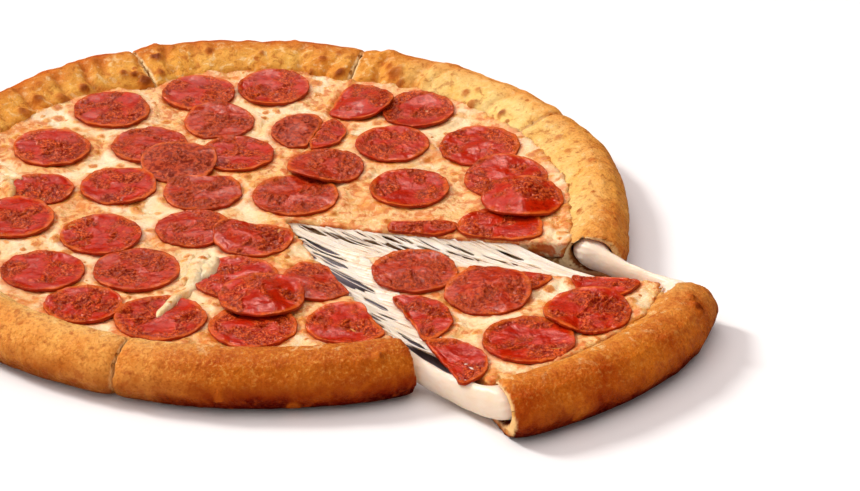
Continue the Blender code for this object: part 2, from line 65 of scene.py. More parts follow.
# %% Camera
CAMERA_TARGET = Vector((82.3, -29.8, 0)) * MM
CAMERA_DISTANCE = 991.1 * MM
CAMERA_RISE = 28.834  # degrees above the table
CAMERA_ROLL = 1.073  # degrees
CAMERA_LENS = 84.53  # mm, on a 36 mm sensor


def aim(thing, place, target, roll=0.0):
    """Turns a camera or a lamp at a place so that it looks at a target."""
    turn = (target - place).to_track_quat("-Z", "Y").to_matrix().to_4x4()
    thing.matrix_world = Matrix.Translation(place) @ turn @ Matrix.Rotation(roll, 4, "Z")


rise = math.radians(CAMERA_RISE)
camera = bpy.data.objects.new("camera", bpy.data.cameras.new("camera"))
camera.data.lens = CAMERA_LENS
camera.data.clip_start = 0.05
bpy.context.scene.collection.objects.link(camera)
camera_place = Vector((0, -math.cos(rise), math.sin(rise))) * CAMERA_DISTANCE
aim(camera, camera_place, CAMERA_TARGET, math.radians(CAMERA_ROLL))
bpy.context.scene.camera = camera
print("camera at", [round(v, 3) for v in camera_place])

# %% [markdown]
# The light is that of a product studio. A pale sky all round fills the shadows, a broad sun from the back
# left lays one soft shadow to the front right, and soft boxes give the oil and the crust something to
# mirror. The sky, the floor and the box above are so broad that their mirror image would veil every wet
# surface in grey, so they are hidden from reflections. Two small boxes are only seen in reflections.
# The floor is white and burns out to pure white, except in the deep shade under the web of cheese, where
# painted shade also greys its colour.

# %% Light and floor
FLOOR_SIDE = 8.0
SUN_TURN = 31  # degrees from the left towards the back
SUN_RISE = 38
SUN_SIZE = 13  # degrees across, which sets how soft the shadow's edge is


def lamp(name, kind, energy, colour, place, target, size=0.0):
    """A lamp aimed at a target. The size is a side in metres, or for a sun an angle in degrees."""
    made = bpy.data.objects.new(name, bpy.data.lights.new(name, kind))
    made.data.energy = energy
    made.data.color = colour
    if kind == "SUN":
        made.data.angle = math.radians(size)
    else:
        made.data.size = size
    bpy.context.scene.collection.objects.link(made)
    aim(made, place, target)
    return made


bpy.context.scene.view_settings.view_transform = "Standard"
world = bpy.data.worlds.new("studio")
bpy.context.scene.world = world
world.use_nodes = True
sky = world.node_tree.nodes["Background"]
sky.inputs["Color"].default_value = (1.0, 0.86, 0.83, 1)
sky.inputs["Strength"].default_value = 0.31
world.cycles_visibility.glossy = False

sun_way = Vector(
    (
        -math.cos(math.radians(SUN_TURN)) * math.cos(math.radians(SUN_RISE)),
        math.sin(math.radians(SUN_TURN)) * math.cos(math.radians(SUN_RISE)),
        math.sin(math.radians(SUN_RISE)),
    )
)
table = Vector((0, 0, 0))
lamp("sun", "SUN", 2.15, (1.0, 0.99, 0.96), sun_way, table, SUN_SIZE)
top_box = lamp("top_box", "AREA", 13.5, (1, 0.92, 0.90), Vector((-0.1, -0.1, 1.5)), table, 1.8)
top_box.visible_glossy = False
lamp("back_box", "AREA", 1.2, (1, 1, 1), Vector((-0.1, 0.95, 0.75)), table, 0.5)
lamp("front_box", "AREA", 1.6, (1, 0.97, 0.92), Vector((-0.75, -0.9, 0.7)), table, 0.5)
glint_boxes = [
    lamp("back_glints", "AREA", 6.0, (1, 0.93, 0.88), Vector((0.1, 1.1, 1.25)), table, 0.22),
    lamp("front_glints", "AREA", 3.5, (1, 0.93, 0.8), Vector((-0.55, -0.8, 1.05)), table, 0.2),
]
for box in glint_boxes:
    box.visible_diffuse = False

floor = bpy.data.objects.new("floor", bpy.data.meshes.new("floor"))
half = FLOOR_SIDE / 2
corners = [(-half, -half, 0), (half, -half, 0), (half, half, 0), (-half, half, 0)]
floor.data.from_pydata(corners, [], [(0, 1, 2, 3)])
bpy.context.scene.collection.objects.link(floor)
white = bpy.data.materials.new("white_floor")
white.use_nodes = True
white.node_tree.nodes["Principled BSDF"].inputs["Roughness"].default_value = 0.85
white.node_tree.nodes["Principled BSDF"].inputs["Specular IOR Level"].default_value = 0.1
floor.data.materials.append(white)
floor.visible_glossy = False
print("floor", FLOOR_SIDE, "m, sun from", [round(v, 2) for v in sun_way])

# %% [markdown]
# Shader trees and geometry trees are both webs of nodes, so one small helper can build either. It adds a
# node, sets its options, and plugs each named input into a number, a colour or another node's output. A
# Wire wraps such an output, so that a rule can be written as plain sums: each sign adds a node to the tree.

# %% Node helpers


class Wire:
    """The output of a node, which takes part in sums as a number does."""

    def __init__(self, socket):
        self.socket = socket
        self.tree = socket.id_data

    def __add__(self, other):
        return maths("ADD", self, other)

    def __sub__(self, other):
        return maths("SUBTRACT", self, other)

    def __rsub__(self, other):
        return maths("SUBTRACT", other, self)

    def __mul__(self, other):
        return maths("MULTIPLY", self, other)

    def __rtruediv__(self, other):
        return maths("DIVIDE", other, self)

    def __truediv__(self, other):
        return maths("DIVIDE", self, other)


def add(tree, kind, inputs=None, **options):
    """A new node of a tree. Its inputs are numbers, colours or wires, by name or by number."""
    node = tree.nodes.new(kind)
    for option, value in options.items():
        setattr(node, option, value)
    for key, value in (inputs or {}).items():
        if isinstance(value, Wire):
            plug(value, node, key)
        else:
            node.inputs[key].default_value = value
    return node


def wire(tree, kind, inputs=None, output=0, **options):
    """One output of a new node."""
    return Wire(add(tree, kind, inputs, **options).outputs[output])


def plug(value, node, key):
    value.tree.links.new(value.socket, node.inputs[key])


def maths(operation, *values, clamp=False):
    tree = next(v.tree for v in values if isinstance(v, Wire))
    inputs = dict(enumerate(values))
    return wire(tree, "ShaderNodeMath", inputs, operation=operation, use_clamp=clamp)


def clamped(value):
    return maths("ADD", value, 0.0, clamp=True)


def largest(first, *others):
    for other in others:
        first = maths("MAXIMUM", first, other)
    return first


def vectors(operation, first, *others, output=0):
    inputs = dict(enumerate((first, *others)))
    return wire(first.tree, "ShaderNodeVectorMath", inputs, output, operation=operation)


def scaled(vector, factor):
    inputs = {0: vector, "Scale": factor}
    return wire(vector.tree, "ShaderNodeVectorMath", inputs, operation="SCALE")


def combined(tree, x=0.0, y=0.0, z=0.0):
    return wire(tree, "ShaderNodeCombineXYZ", {0: x, 1: y, 2: z})


def parts_of(vector):
    """The x, y and z of a vector."""
    return [Wire(s) for s in add(vector.tree, "ShaderNodeSeparateXYZ", {0: vector}).outputs]


def ramp(value, low, high, start=0.0, end=1.0):
    """A smooth step of a value: start below low, end above high."""
    inputs = {"Value": value, "From Min": low, "From Max": high, "To Min": start, "To Max": end}
    return wire(value.tree, "ShaderNodeMapRange", inputs, interpolation_type="SMOOTHSTEP")


def noise_of(place, size, detail=2.0, roughness=0.5, distortion=0.0, output=0):
    """Cloudy noise whose lumps are about as large as size, in metres."""
    inputs = {"Vector": place, "Scale": 1 / size, "Detail": detail, "Roughness": roughness}
    inputs["Distortion"] = distortion
    return wire(place.tree, "ShaderNodeTexNoise", inputs, output)


def domes(place, size, outer, inner):
    """Round domes, one in each cell of an uneven pattern."""
    inputs = {"Vector": place, "Scale": 1 / size}
    cells = wire(place.tree, "ShaderNodeTexVoronoi", inputs, "Distance", feature="SMOOTH_F1")
    return ramp(cells, outer, inner)


def srgb(red, green, blue):
    """A colour as a paint program gives it, 0 to 255, turned to the linear values that shaders use."""
    shares = [v / 255 for v in (red, green, blue)]
    linear = [((v + 0.055) / 1.055) ** 2.4 if v > 0.04 else v / 12.92 for v in shares]
    return (*linear, 1)


def mix(share, first, second):
    """First where share is 0, second where it is 1. Each is a wire, or three numbers from 0 to 255."""
    first, second = (c if isinstance(c, Wire) else srgb(*c) for c in (first, second))
    return wire(share.tree, "ShaderNodeMix", {0: share, 6: first, 7: second}, 2, data_type="RGBA")


def paint(colour, *layers):
    """Lays colours over one another. Each layer is a wire that says how much, and its colour."""
    for share, cover in layers:
        colour = mix(share, colour, cover)
    return colour


print("mid grey as linear:", [round(v, 3) for v in srgb(128, 128, 128)])

# %% [markdown]
# Through the holes in the web of cheese one sees the table, in the deep shade between two slices. A white
# floor glows even there, so painted shade turns its colour grey under the web. The place is told by two
# shares:
# how far along the cut a point lies, and how far along the pull.

# %% Painted shade under the web
FLOOR_WHITE = (252.7, 251.6, 251.6)
PAINTED_FLOOR_SHADE = (146, 134, 144)
LEFT_SHADE_REACH = 0.76  # the share of the cut up to which the web hides the floor
RIGHT_SHADE_REACH = 0.9


def under_web(place, cut_end, reach):
    """A mask that is 1 on the floor between a cut and the pulled slice, up to a share of the cut."""
    run = cut_end - GAP_POINT
    scale = run.x * PULL.y - run.y * PULL.x
    away = vectors("SUBTRACT", place, tuple(GAP_POINT))
    along = vectors("DOT_PRODUCT", away, (PULL.y / scale, -PULL.x / scale, 0), output="Value")
    drawn = vectors("DOT_PRODUCT", away, (-run.y / scale, run.x / scale, 0), output="Value")
    sides = ramp(along, -0.03, 0.03) * ramp(along, reach + 0.06, reach - 0.02)
    ends = ramp(drawn, -0.2, 0.05) * ramp(drawn, 1.2, 1.0)
    return sides * ends


floor_tree = white.node_tree
floor_place = wire(floor_tree, "ShaderNodeTexCoord", output="Object")
left_shade = under_web(floor_place, LEFT_CUT_END, LEFT_SHADE_REACH)
right_shade = under_web(floor_place, RIGHT_CUT_END, RIGHT_SHADE_REACH)
# Painted shade: the floor's colour turns grey where the web hides it.
floor_colour = mix(largest(left_shade, right_shade), FLOOR_WHITE, PAINTED_FLOOR_SHADE)
plug(floor_colour, floor_tree.nodes["Principled BSDF"], "Base Color")
print("floor nodes:", len(floor_tree.nodes))

# %% [markdown]
# Three effects turn up in more than one finish, so each is a node group with named sockets: mottled
# browning, scattered toasted spots, and a fine grain for the bump. A group only puts out masks and heights.
# The Principled shader stays in each material, where the colours are chosen.

# %% Shader groups
NUMBER = "NodeSocketFloat"
VECTOR = "NodeSocketVector"
SHAPE = "NodeSocketGeometry"
MATERIAL = "NodeSocketMaterial"


def new_group(kind, name, inputs, outputs):
    """An empty group. Each input has a kind of socket, or a number to start from."""
    group = bpy.data.node_groups.new(name, kind)
    for label, value in inputs.items():
        plain = isinstance(value, float)
        socket_type = NUMBER if plain else value
        socket = group.interface.new_socket(label, in_out="INPUT", socket_type=socket_type)
        if plain:
            socket.default_value = value
    for label, socket_type in outputs.items():
        group.interface.new_socket(label, in_out="OUTPUT", socket_type=socket_type)
    given = {s.name: Wire(s) for s in add(group, "NodeGroupInput").outputs}
    return group, given, add(group, "NodeGroupOutput")


def mottling_group():
    """Clouds inside clouds, 0 to 1, for uneven baking."""
    inputs = {"Place": VECTOR, "Size": 0.02, "Contrast": 1.0}
    group, given, result = new_group("ShaderNodeTree", "mottling", inputs, {"Mask": NUMBER})
    clouds = noise_of(given["Place"], given["Size"], 5.0, 0.6, 0.4)
    plug(clamped((clouds - 0.5) * given["Contrast"] + 0.5), result, "Mask")
    return group


def spots_group():
    """Scattered round spots with soft edges. Share is how many of the cells have one."""
    inputs = {"Place": VECTOR, "Spacing": 0.01, "Radius": 0.3, "Share": 0.5}
    group, given, result = new_group("ShaderNodeTree", "toasted_spots", inputs, {"Mask": NUMBER})
    wobble = scaled(noise_of(given["Place"], 1 / 420, output="Color"), 0.0022)
    inputs = {"Vector": vectors("ADD", given["Place"], wobble), "Scale": 1 / given["Spacing"]}
    cells = add(group, "ShaderNodeTexVoronoi", inputs)
    pick = add(group, "ShaderNodeSeparateColor", {"Color": Wire(cells.outputs["Color"])}).outputs
    radius = given["Radius"] * (Wire(pick[1]) + 0.35)
    spot = ramp(Wire(cells.outputs["Distance"]), radius, radius * 0.35)
    plug(spot * maths("LESS_THAN", Wire(pick[0]), given["Share"]), result, "Mask")
    return group


def grain_group():
    """A fine uneven height, from a coarse and a fine noise."""
    inputs = {"Place": VECTOR, "Coarse": 0.004, "Fine": 0.0012, "Fine Share": 0.4}
    group, given, result = new_group("ShaderNodeTree", "fine_grain", inputs, {"Height": NUMBER})
    coarse, fine = (noise_of(given["Place"], given[label], 3.0, 0.55) for label in ("Coarse", "Fine"))
    plug(coarse + fine * given["Fine Share"], result, "Height")
    return group


GROUPS = {"mottling": mottling_group(), "spots": spots_group(), "grain": grain_group()}


def effect(name, place, *values):
    """One of the groups, placed in a material. The values are those of its inputs, in their order."""
    node = add(place.tree, "ShaderNodeGroup", node_tree=GROUPS[name])
    plug(place, node, "Place")
    for socket, value in zip(node.inputs[1:], values):
        socket.default_value = value
    return Wire(node.outputs[0])


print("groups:", ", ".join(sorted(GROUPS)))

# %% [markdown]
# Each finish is one function. It opens a new material, reads the place on the object in metres, and hands
# back the Principled shader to plug into. Colours and heights come from the groups above, and from
# attributes that the shapes carry, such as how far a point of the crust has browned.

# %% Start of a finish


def finish(name, roughness, soft=0.0, soft_radius=(1, 0.5, 0.25), coat=0.0, gloss=0.5, tint=(1, 1, 1)):
    """A new material and its shader, with plain values for what doesn't change over the surface."""
    made = bpy.data.materials.new(name)
    made.use_nodes = True
    shader = made.node_tree.nodes["Principled BSDF"]
    shader.inputs["Roughness"].default_value = roughness
    shader.inputs["Subsurface Weight"].default_value = soft
    shader.inputs["Subsurface Radius"].default_value = soft_radius
    shader.inputs["Subsurface Scale"].default_value = 0.004
    shader.inputs["Coat Weight"].default_value = coat
    shader.inputs["Specular IOR Level"].default_value = gloss
    shader.inputs["Specular Tint"].default_value = (*tint, 1)
    shader.inputs["Coat Roughness"].default_value = 0.12
    return made, shader, wire(made.node_tree, "ShaderNodeTexCoord", output="Object")


def carried(tree, *names):
    """Numbers that the mesh carries at each of its points."""
    return [wire(tree, "ShaderNodeAttribute", output="Fac", attribute_name=name) for name in names]


def bump(shader, height, strength, depth):
    """Small relief. The depth is in metres for a height of 1."""
    inputs = {"Height": height, "Strength": strength, "Distance": depth}
    plug(wire(height.tree, "ShaderNodeBump", inputs), shader, "Normal")


# %% [markdown]
# Crust goes from pale gold on the inner slope, over a warm brown top, to a deep red-brown at the foot where
# it met the hot pan; painted shade darkens the foot too, most at the bottom. Those three bands follow the
# height and the distance from the rim, and mottling breaks them up. The front slices are painted darker, by
# deeper baking and painted shade, and the parts of the rim that carry light are painted paler as painted
# light.
# Cream specks on the inner slope and golden specks on the front crust are painted highlights. A cut face
# shows cream crumb with small holes instead.

# %% Crust finish


def crust_finish():
    made, shader, place = finish("baked_crust", 0.42, 0.03, gloss=0.12, tint=(1, 0.6, 0.25))
    names = ("inward", "browned", "crumb", "front", "light")
    inward, brown, crumb, front, light = carried(place.tree, *names)
    level = parts_of(place)[2]
    clouds = effect("mottling", place, 0.017, 2.4)
    fine = effect("mottling", place, 0.0045, 2.6)
    grainy = effect("mottling", place, 0.0016, 2.6)
    wide = effect("mottling", place, 0.05, 2.4)
    spots = effect("spots", place, 0.013, 0.26, 0.3)
    pores = effect("spots", place, 0.0034, 0.5, 0.75)
    grain = effect("grain", place, 0.0030, 0.0010, 0.7)

    top = mix(clouds, (180, 66, 6), (221, 115, 23))
    # Where the mesh carries light, the top and the slope are painted paler: painted light.
    top = mix(light, top, mix(clouds, (228, 128, 38), (252, 184, 92)))
    slope = mix(clouds, (224, 132, 36), (246, 187, 86))
    slope = mix(light, slope, mix(clouds, (248, 194, 96), (255, 230, 156)))
    # The front slices get a darker top: deeper baking and painted shade.
    baked_and_shaded_top = mix(clouds, (172, 62, 6), (212, 114, 27))
    uneven = level + clouds * 0.007
    # The foot is painted dark red-brown, darkest at the bottom: browning on the pan and painted shade.
    foot = ramp(uneven, front * 0.007 + 0.016, 0.008)
    foot_share = clamped(front * 0.6 + 0.6) * (1.0 - light * 0.45)
    # Cream specks on the inner slope are painted highlights.
    painted_cream_highlights = ramp(fine, 0.4, 0.05, 0.0, 0.6) * ramp(inward, 0.2, 0.6)
    # Golden specks low on the front crust are painted highlights.
    painted_sparkle = ramp(grainy, 0.5, 0.0) * clamped(front * 0.4) * ramp(level, 0.012, 0.019)
    toasted = largest(brown, spots * 0.6)
    skin = paint(
        mix(ramp(inward, 0.2, 0.75), top, slope),
        (ramp(wide, 0.5, 0.95, 0.0, 0.35), (248, 176, 66)),
        (front * (0.8 - light * 0.6), baked_and_shaded_top),
        (foot * foot_share, (124, 20, 4)),
        (ramp(uneven, 0.0145, 0.006) * foot_share, (70, 4, 2)),
        (painted_cream_highlights, (255, 222, 160)),
        (ramp(fine, 0.58, 0.95, 0.0, 0.55), (170, 66, 12)),
        (painted_sparkle, (252, 190, 96)),
        (ramp(grainy, 0.5, 0.9) * (front * 0.25 + 0.15), (150, 58, 8)),
        (ramp(toasted, 0.0, 0.6) * 0.75, (190, 92, 20)),
        (ramp(toasted, 0.45, 1.0) * 0.85, (120, 40, 10)),
    )
    bread = paint(
        mix(pores, (252, 222, 168), (218, 156, 84)),
        (ramp(inward, 0.5, 0.15, 0.0, 0.6), (240, 176, 92)),
        (ramp(level, 0.006, 0.0005), (184, 88, 26)),
    )
    plug(mix(crumb, skin, bread), shader, "Base Color")
    bump(shader, grain - pores * crumb * 1.5, 1.0, 0.0008)
    plug(ramp(fine, 0.3, 0.8, 0.34, 0.55) - front * 0.12 + crumb * 0.3, shader, "Roughness")
    return made


# %% [markdown]
# Melted cheese is pale and lets some light in, so it has subsurface scattering. Its bubbles have browned
# to gold and tan. Orange oil has run out of the sausage and lies around it, and at the torn edges the
# tomato underneath shows through.

# %% Cheese finish


def cheese_finish():
    made, shader, place = finish("melted_cheese", 0.36, 0.3, (1, 0.6, 0.3), gloss=0.4, tint=(1, 0.93, 0.85))
    oil, torn, edge, bubble, gratin = carried(place.tree, "oil", "torn", "edge", "bubble", "gratin")
    clouds = effect("mottling", place, 0.016, 2.6)
    fine = effect("mottling", place, 0.0045, 2.8)
    zones = effect("mottling", place, 0.032, 3.6)
    large_spots = effect("spots", place, 0.0115, 0.33, 0.75)
    small_spots = effect("spots", place, 0.0065, 0.36, 0.4)
    grain = effect("grain", place, 0.0045, 0.0015, 0.5)

    golden = largest(ramp(zones, 0.36, 0.66), edge * 0.6, gratin)
    spots = largest(large_spots, small_spots, bubble)
    colour = paint(
        mix(clouds, (255, 232, 194), (250, 202, 134)),
        (golden * 0.6, (242, 176, 88)),
        (golden * ramp(fine, 0.4, 0.8) * 0.9, (212, 112, 30)),
        (ramp(oil, 0.25, 1.0) * ramp(fine, 0.2, 0.7, 0.35, 0.95), (226, 112, 28)),
        (gratin * ramp(fine, 0.3, 0.6, 0.25, 0.9), (222, 128, 38)),
        (ramp(spots, 0.05, 0.4) * 0.85, (238, 162, 76)),
        (ramp(spots, 0.45, 0.95) * 0.85, (204, 110, 34)),
        (torn * ramp(fine, 0.3, 0.6, 0.1, 0.85), (216, 98, 34)),
    )
    plug(colour, shader, "Base Color")
    bump(shader, grain + spots * 0.4, 0.9, 0.0011)
    plug(ramp(fine, 0.2, 0.8, 0.2, 0.42), shader, "Roughness")
    return made


# %% [markdown]
# Sliced sausage that has baked is red-orange, wet with its own fat and finely wrinkled. The wrinkles catch
# the light as hundreds of small glints, and light grains painted in the wrinkled patches add painted glints;
# the valleys of the wrinkles are painted darker as painted shade. The rim has crisped to orange-brown. A tone
# attribute makes some rounds darker and drier than others, as they come out of the oven.

# %% Sausage finish


def sausage_finish():
    made, shader, place = finish("baked_sausage", 0.3, 0.02, (1, 0.2, 0.1), 0.05, 0.3, (1, 0.44, 0.24))
    rim, tone, valley, patch = carried(place.tree, "rim", "tone", "valley", "patch")
    clouds = effect("mottling", place, 0.013, 2.6)
    fine = effect("mottling", place, 0.0022, 2.8)
    frost = effect("mottling", place, 0.0011, 3.4)
    arcs = effect("mottling", place, 0.02, 3.0)
    fat = effect("spots", place, 0.0048, 0.22, 0.3)
    grain = effect("grain", place, 0.0020, 0.0008, 0.6)

    wet_red = mix(clouds, (168, 16, 1), (217, 42, 3))
    # The wrinkled patches get light and dark grains: the light grains are painted glints.
    painted_glint_frost = mix(ramp(frost, 0.25, 0.85), (142, 18, 3), (240, 108, 42))
    dusty = mix(ramp(fine, 0.3, 0.7), (134, 34, 14), (196, 76, 38))
    crisp = ramp(rim + clouds * 0.1, 0.9, 1.02) * ramp(arcs, 0.3, 0.7, 0.15, 0.85)
    colour = paint(
        wet_red,
        (ramp(fine, 0.45, 0.1, 0.0, 0.5), (112, 5, 1)),
        (patch * 0.8, painted_glint_frost),
        # Wrinkle valleys are painted darker: painted shade in the creases.
        (valley * 0.65, (112, 6, 2)),
        (tone * 0.85, dusty),
        (crisp, (222, 100, 32)),
        (ramp(rim, 1.02, 1.08, 0.0, 0.75), (150, 30, 10)),
        (fat * 0.45, (236, 120, 60)),
    )
    plug(colour, shader, "Base Color")
    bump(shader, grain * (patch * 0.85 + 0.15), 1.0, 0.0011)
    plug(ramp(clouds, 0.2, 0.8, 0.08, 0.16) + tone * 0.3, shader, "Roughness")
    return made


# %% [markdown]
# Cheese that has been pulled is smoother than the topping, almost like wax, with faint lines along the
# pull. It is the same milk white, so the rope in the crust and the threads share one finish.

# %% Stretched cheese finish


def stretched_finish():
    tint = (1, 0.95, 0.9)
    made, shader, place = finish("stretched_cheese", 0.3, 0.45, (1, 0.65, 0.4), gloss=0.4, tint=tint)
    torn, melted = carried(place.tree, "torn", "melted")
    turn = -math.atan2(PULL.y, PULL.x)
    inputs = {"Vector": place, "Rotation": (0, 0, turn), "Scale": (0.12, 1.0, 1.0)}
    lines = effect("mottling", wire(place.tree, "ShaderNodeMapping", inputs), 0.003, 2.0)
    clouds = effect("mottling", place, 0.02, 2.0)
    fine = effect("mottling", place, 0.0045, 2.8)
    dots = effect("spots", place, 0.0115, 0.24, 0.5)
    colour = paint(
        mix(clouds, (252, 234, 218), (248, 220, 190)),
        (ramp(lines, 0.5, 1.0, 0.0, 0.3), (244, 204, 156)),
        (melted * ramp(fine, 0.5, 0.85) * 0.7, (228, 150, 72)),
        (melted * dots, (200, 112, 40)),
        (torn * ramp(clouds, 0.2, 0.6), (222, 128, 52)),
    )
    plug(colour, shader, "Base Color")
    bump(shader, lines, 0.4, 0.0004)
    return made


FINISHES = {
    "crust": crust_finish(),
    "cheese": cheese_finish(),
    "pepperoni": sausage_finish(),
    "melted_cheese": stretched_finish(),
}
print("finishes:", ", ".join(m.name for m in FINISHES.values()))

# %% [markdown]
# A node's mesh comes as loose triangles. A finer skin starts from a copy of it: the triangles are merged
# into one closed surface, a voxel remesh spreads small even faces over it, and a smooth rounds the hard
# edges off. Dough and cheese have no sharp edges, so this suits them well.

# %% Merged copies and fine skins
MERGE_DISTANCE = 0.01 * MM
ALL_CRUSTS = sorted(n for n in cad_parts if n.startswith("crust_") and n != "crust_cheese")
ALL_PEPPERONI = sorted(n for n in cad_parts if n.startswith("pepperoni_"))


def new_piece(name, mesh):
    made = bpy.data.objects.new(name, mesh)
    bpy.context.scene.collection.objects.link(made)
    return made


def merged_mesh(node):
    """A copy of a node's mesh, closed up from its loose triangles."""
    mesh = bpy.data.meshes.new(node + "_copy")
    shape = bmesh.new()
    shape.from_mesh(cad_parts[node].data)
    bmesh.ops.remove_doubles(shape, verts=shape.verts, dist=MERGE_DISTANCE)
    bmesh.ops.recalc_face_normals(shape, faces=shape.faces)
    shape.to_mesh(mesh)
    shape.free()
    return mesh


def settle(piece):
    """Turns what the modifiers make of a piece into its own plain mesh."""
    result = piece.evaluated_get(bpy.context.evaluated_depsgraph_get())
    piece.data = bpy.data.meshes.new_from_object(result)
    piece.modifiers.clear()
    return piece


def fine_skin(node, name, voxel, rounds):
    """An even fine mesh over a node, with its edges rounded off."""
    piece = new_piece(name, merged_mesh(node))
    remesh = piece.modifiers.new("remesh", "REMESH")
    remesh.mode = "VOXEL"
    remesh.voxel_size = voxel
    smooth = piece.modifiers.new("smooth", "SMOOTH")
    smooth.iterations = rounds
    return settle(piece)


def numbers_of(mesh, what):
    """The places ("co") or the normals ("normal") of a mesh's points, one row for each."""
    flat = np.empty(len(mesh.vertices) * 3)
    mesh.vertices.foreach_get(what, flat)
    return flat.reshape(-1, 3)


def carry(mesh, name, values):
    """Stores a number at each point of a mesh, for the geometry nodes and the material to read."""
    attribute = mesh.attributes.new(name, "FLOAT", "POINT")
    attribute.data.foreach_set("value", np.asarray(values, dtype=np.float32))


def step(values, low, high):
    """A smooth step from 0 at low to 1 at high."""
    share = np.clip((np.asarray(values) - low) / (high - low), 0, 1)
    return share * share * (3 - 2 * share)


def tree_over(nodes, above=None):
    """A search tree over the faces of some nodes, or over those of them that lie above a height."""
    places, faces = [], []
    for node in nodes:
        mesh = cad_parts[node].data
        start = len(places)
        places += [v.co.copy() for v in mesh.vertices]
        for face in mesh.polygons:
            if above is None or face.center.z > above:
                faces.append([start + i for i in face.vertices])
    return BVHTree.FromPolygons(places, faces)


def distances(tree, points, reach):
    """How far each point is from a tree's faces, up to a reach."""
    found = [tree.find_nearest(point, reach)[3] for point in points]
    return np.array([reach if d is None else d for d in found])


print(len(ALL_CRUSTS), "slices of dough,", len(ALL_PEPPERONI), "pieces of sausage")

# %% [markdown]
# The rim isn't a true circle, so the distance inward from the rim is measured on the solids themselves: the
# outermost points of the crust, sorted by their angle, give the rim's radius at any angle.

# %% Where the rim is
WIDEST_LEVEL = 9.8 * MM  # the height at which the crust bulges out the most


def measure_rim():
    angles, radii = [], []
    for node in ALL_CRUSTS:
        shift = PULL if node == "crust_pulled_slice" else Vector((0, 0, 0))
        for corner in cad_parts[node].data.vertices:
            place = corner.co - shift
            if abs(place.z - WIDEST_LEVEL) < 0.2 * MM and place.xy.length > 150 * MM:
                angles.append(math.degrees(math.atan2(place.y, place.x)))
                radii.append(place.xy.length)
    order = np.argsort(angles)
    return np.array(angles)[order], np.array(radii)[order]


RIM_ANGLES, RIM_RADII = measure_rim()


def inward_of(points, shift=(0, 0, 0)):
    """How far each point lies in from the rim, in metres."""
    own = points - np.array(shift)
    turns = np.degrees(np.arctan2(own[:, 1], own[:, 0]))
    return np.interp(turns, RIM_ANGLES, RIM_RADII, period=360) - np.hypot(own[:, 0], own[:, 1])


print("rim radius from", round(RIM_RADII.min() / MM, 1), "to", round(RIM_RADII.max() / MM, 1), "mm")

# %% [markdown]
# Geometry nodes shape the three main surfaces. Each tree moves the points of a skin by a rule: broad lumps,
# blisters and pleats for dough, folds and bubbles for cheese, waves and wrinkles for sausage. The sizes are
# named inputs, so one tree serves the pleated crust at the back and the smooth one in front.

# %% Geometry tree helpers


def geometry_group(name, numbers):
    """A tree that takes a mesh, some lengths and a material, and gives a mesh."""
    inputs = {"Geometry": SHAPE, **numbers, "Material": MATERIAL}
    return new_group("GeometryNodeTree", name, inputs, {"Geometry": SHAPE})


def named(group, name):
    """Reads a number that the mesh carries."""
    inputs = {"Name": name}
    return wire(group, "GeometryNodeInputNamedAttribute", inputs, "Attribute", data_type="FLOAT")


def store(geometry, name, value):
    inputs = {"Geometry": geometry, "Name": name, "Value": value}
    options = {"data_type": "FLOAT", "domain": "POINT"}
    return wire(geometry.tree, "GeometryNodeStoreNamedAttribute", inputs, **options)


def move(geometry, offset):
    inputs = {"Geometry": geometry, "Offset": offset}
    return wire(geometry.tree, "GeometryNodeSetPosition", inputs)


def push_out(geometry, height):
    """Moves every point along its normal."""
    return move(geometry, scaled(wire(geometry.tree, "GeometryNodeInputNormal"), height))


def close_tree(group, given, result, geometry):
    """Ends a tree: real mesh only, smooth shaded, in the given material."""
    geometry = wire(group, "GeometryNodeRealizeInstances", {"Geometry": geometry})
    geometry = wire(group, "GeometryNodeSetShadeSmooth", {"Geometry": geometry})
    inputs = {"Geometry": geometry, "Material": given["Material"]}
    plug(wire(group, "GeometryNodeSetMaterial", inputs), result, 0)
    return group


def grow(piece, group, material, **values):
    """Runs a tree on a piece with these values, and keeps the result as the piece's own mesh."""
    modifier = piece.modifiers.new(group.name, "NODES")
    modifier.node_group = group
    given = {label.replace("_", " ").title(): value for label, value in values.items()}
    given["Material"] = material
    for socket in group.interface.items_tree:
        if socket.in_out == "INPUT" and socket.name in given:
            modifier[socket.identifier] = given[socket.name]
    return settle(piece)


# %% [markdown]
# Dough rises unevenly. Broad lumps make the rim wander, small blisters stand on it and brown first, and
# pleats run down the inner slope where the rim was folded over the cheese. The foot stays flat on the
# table. The tree also stores how browned each point is, for the material. Folds and large blisters that
# have a place of their own come in as numbers that the mesh carries.

# %% Dough tree


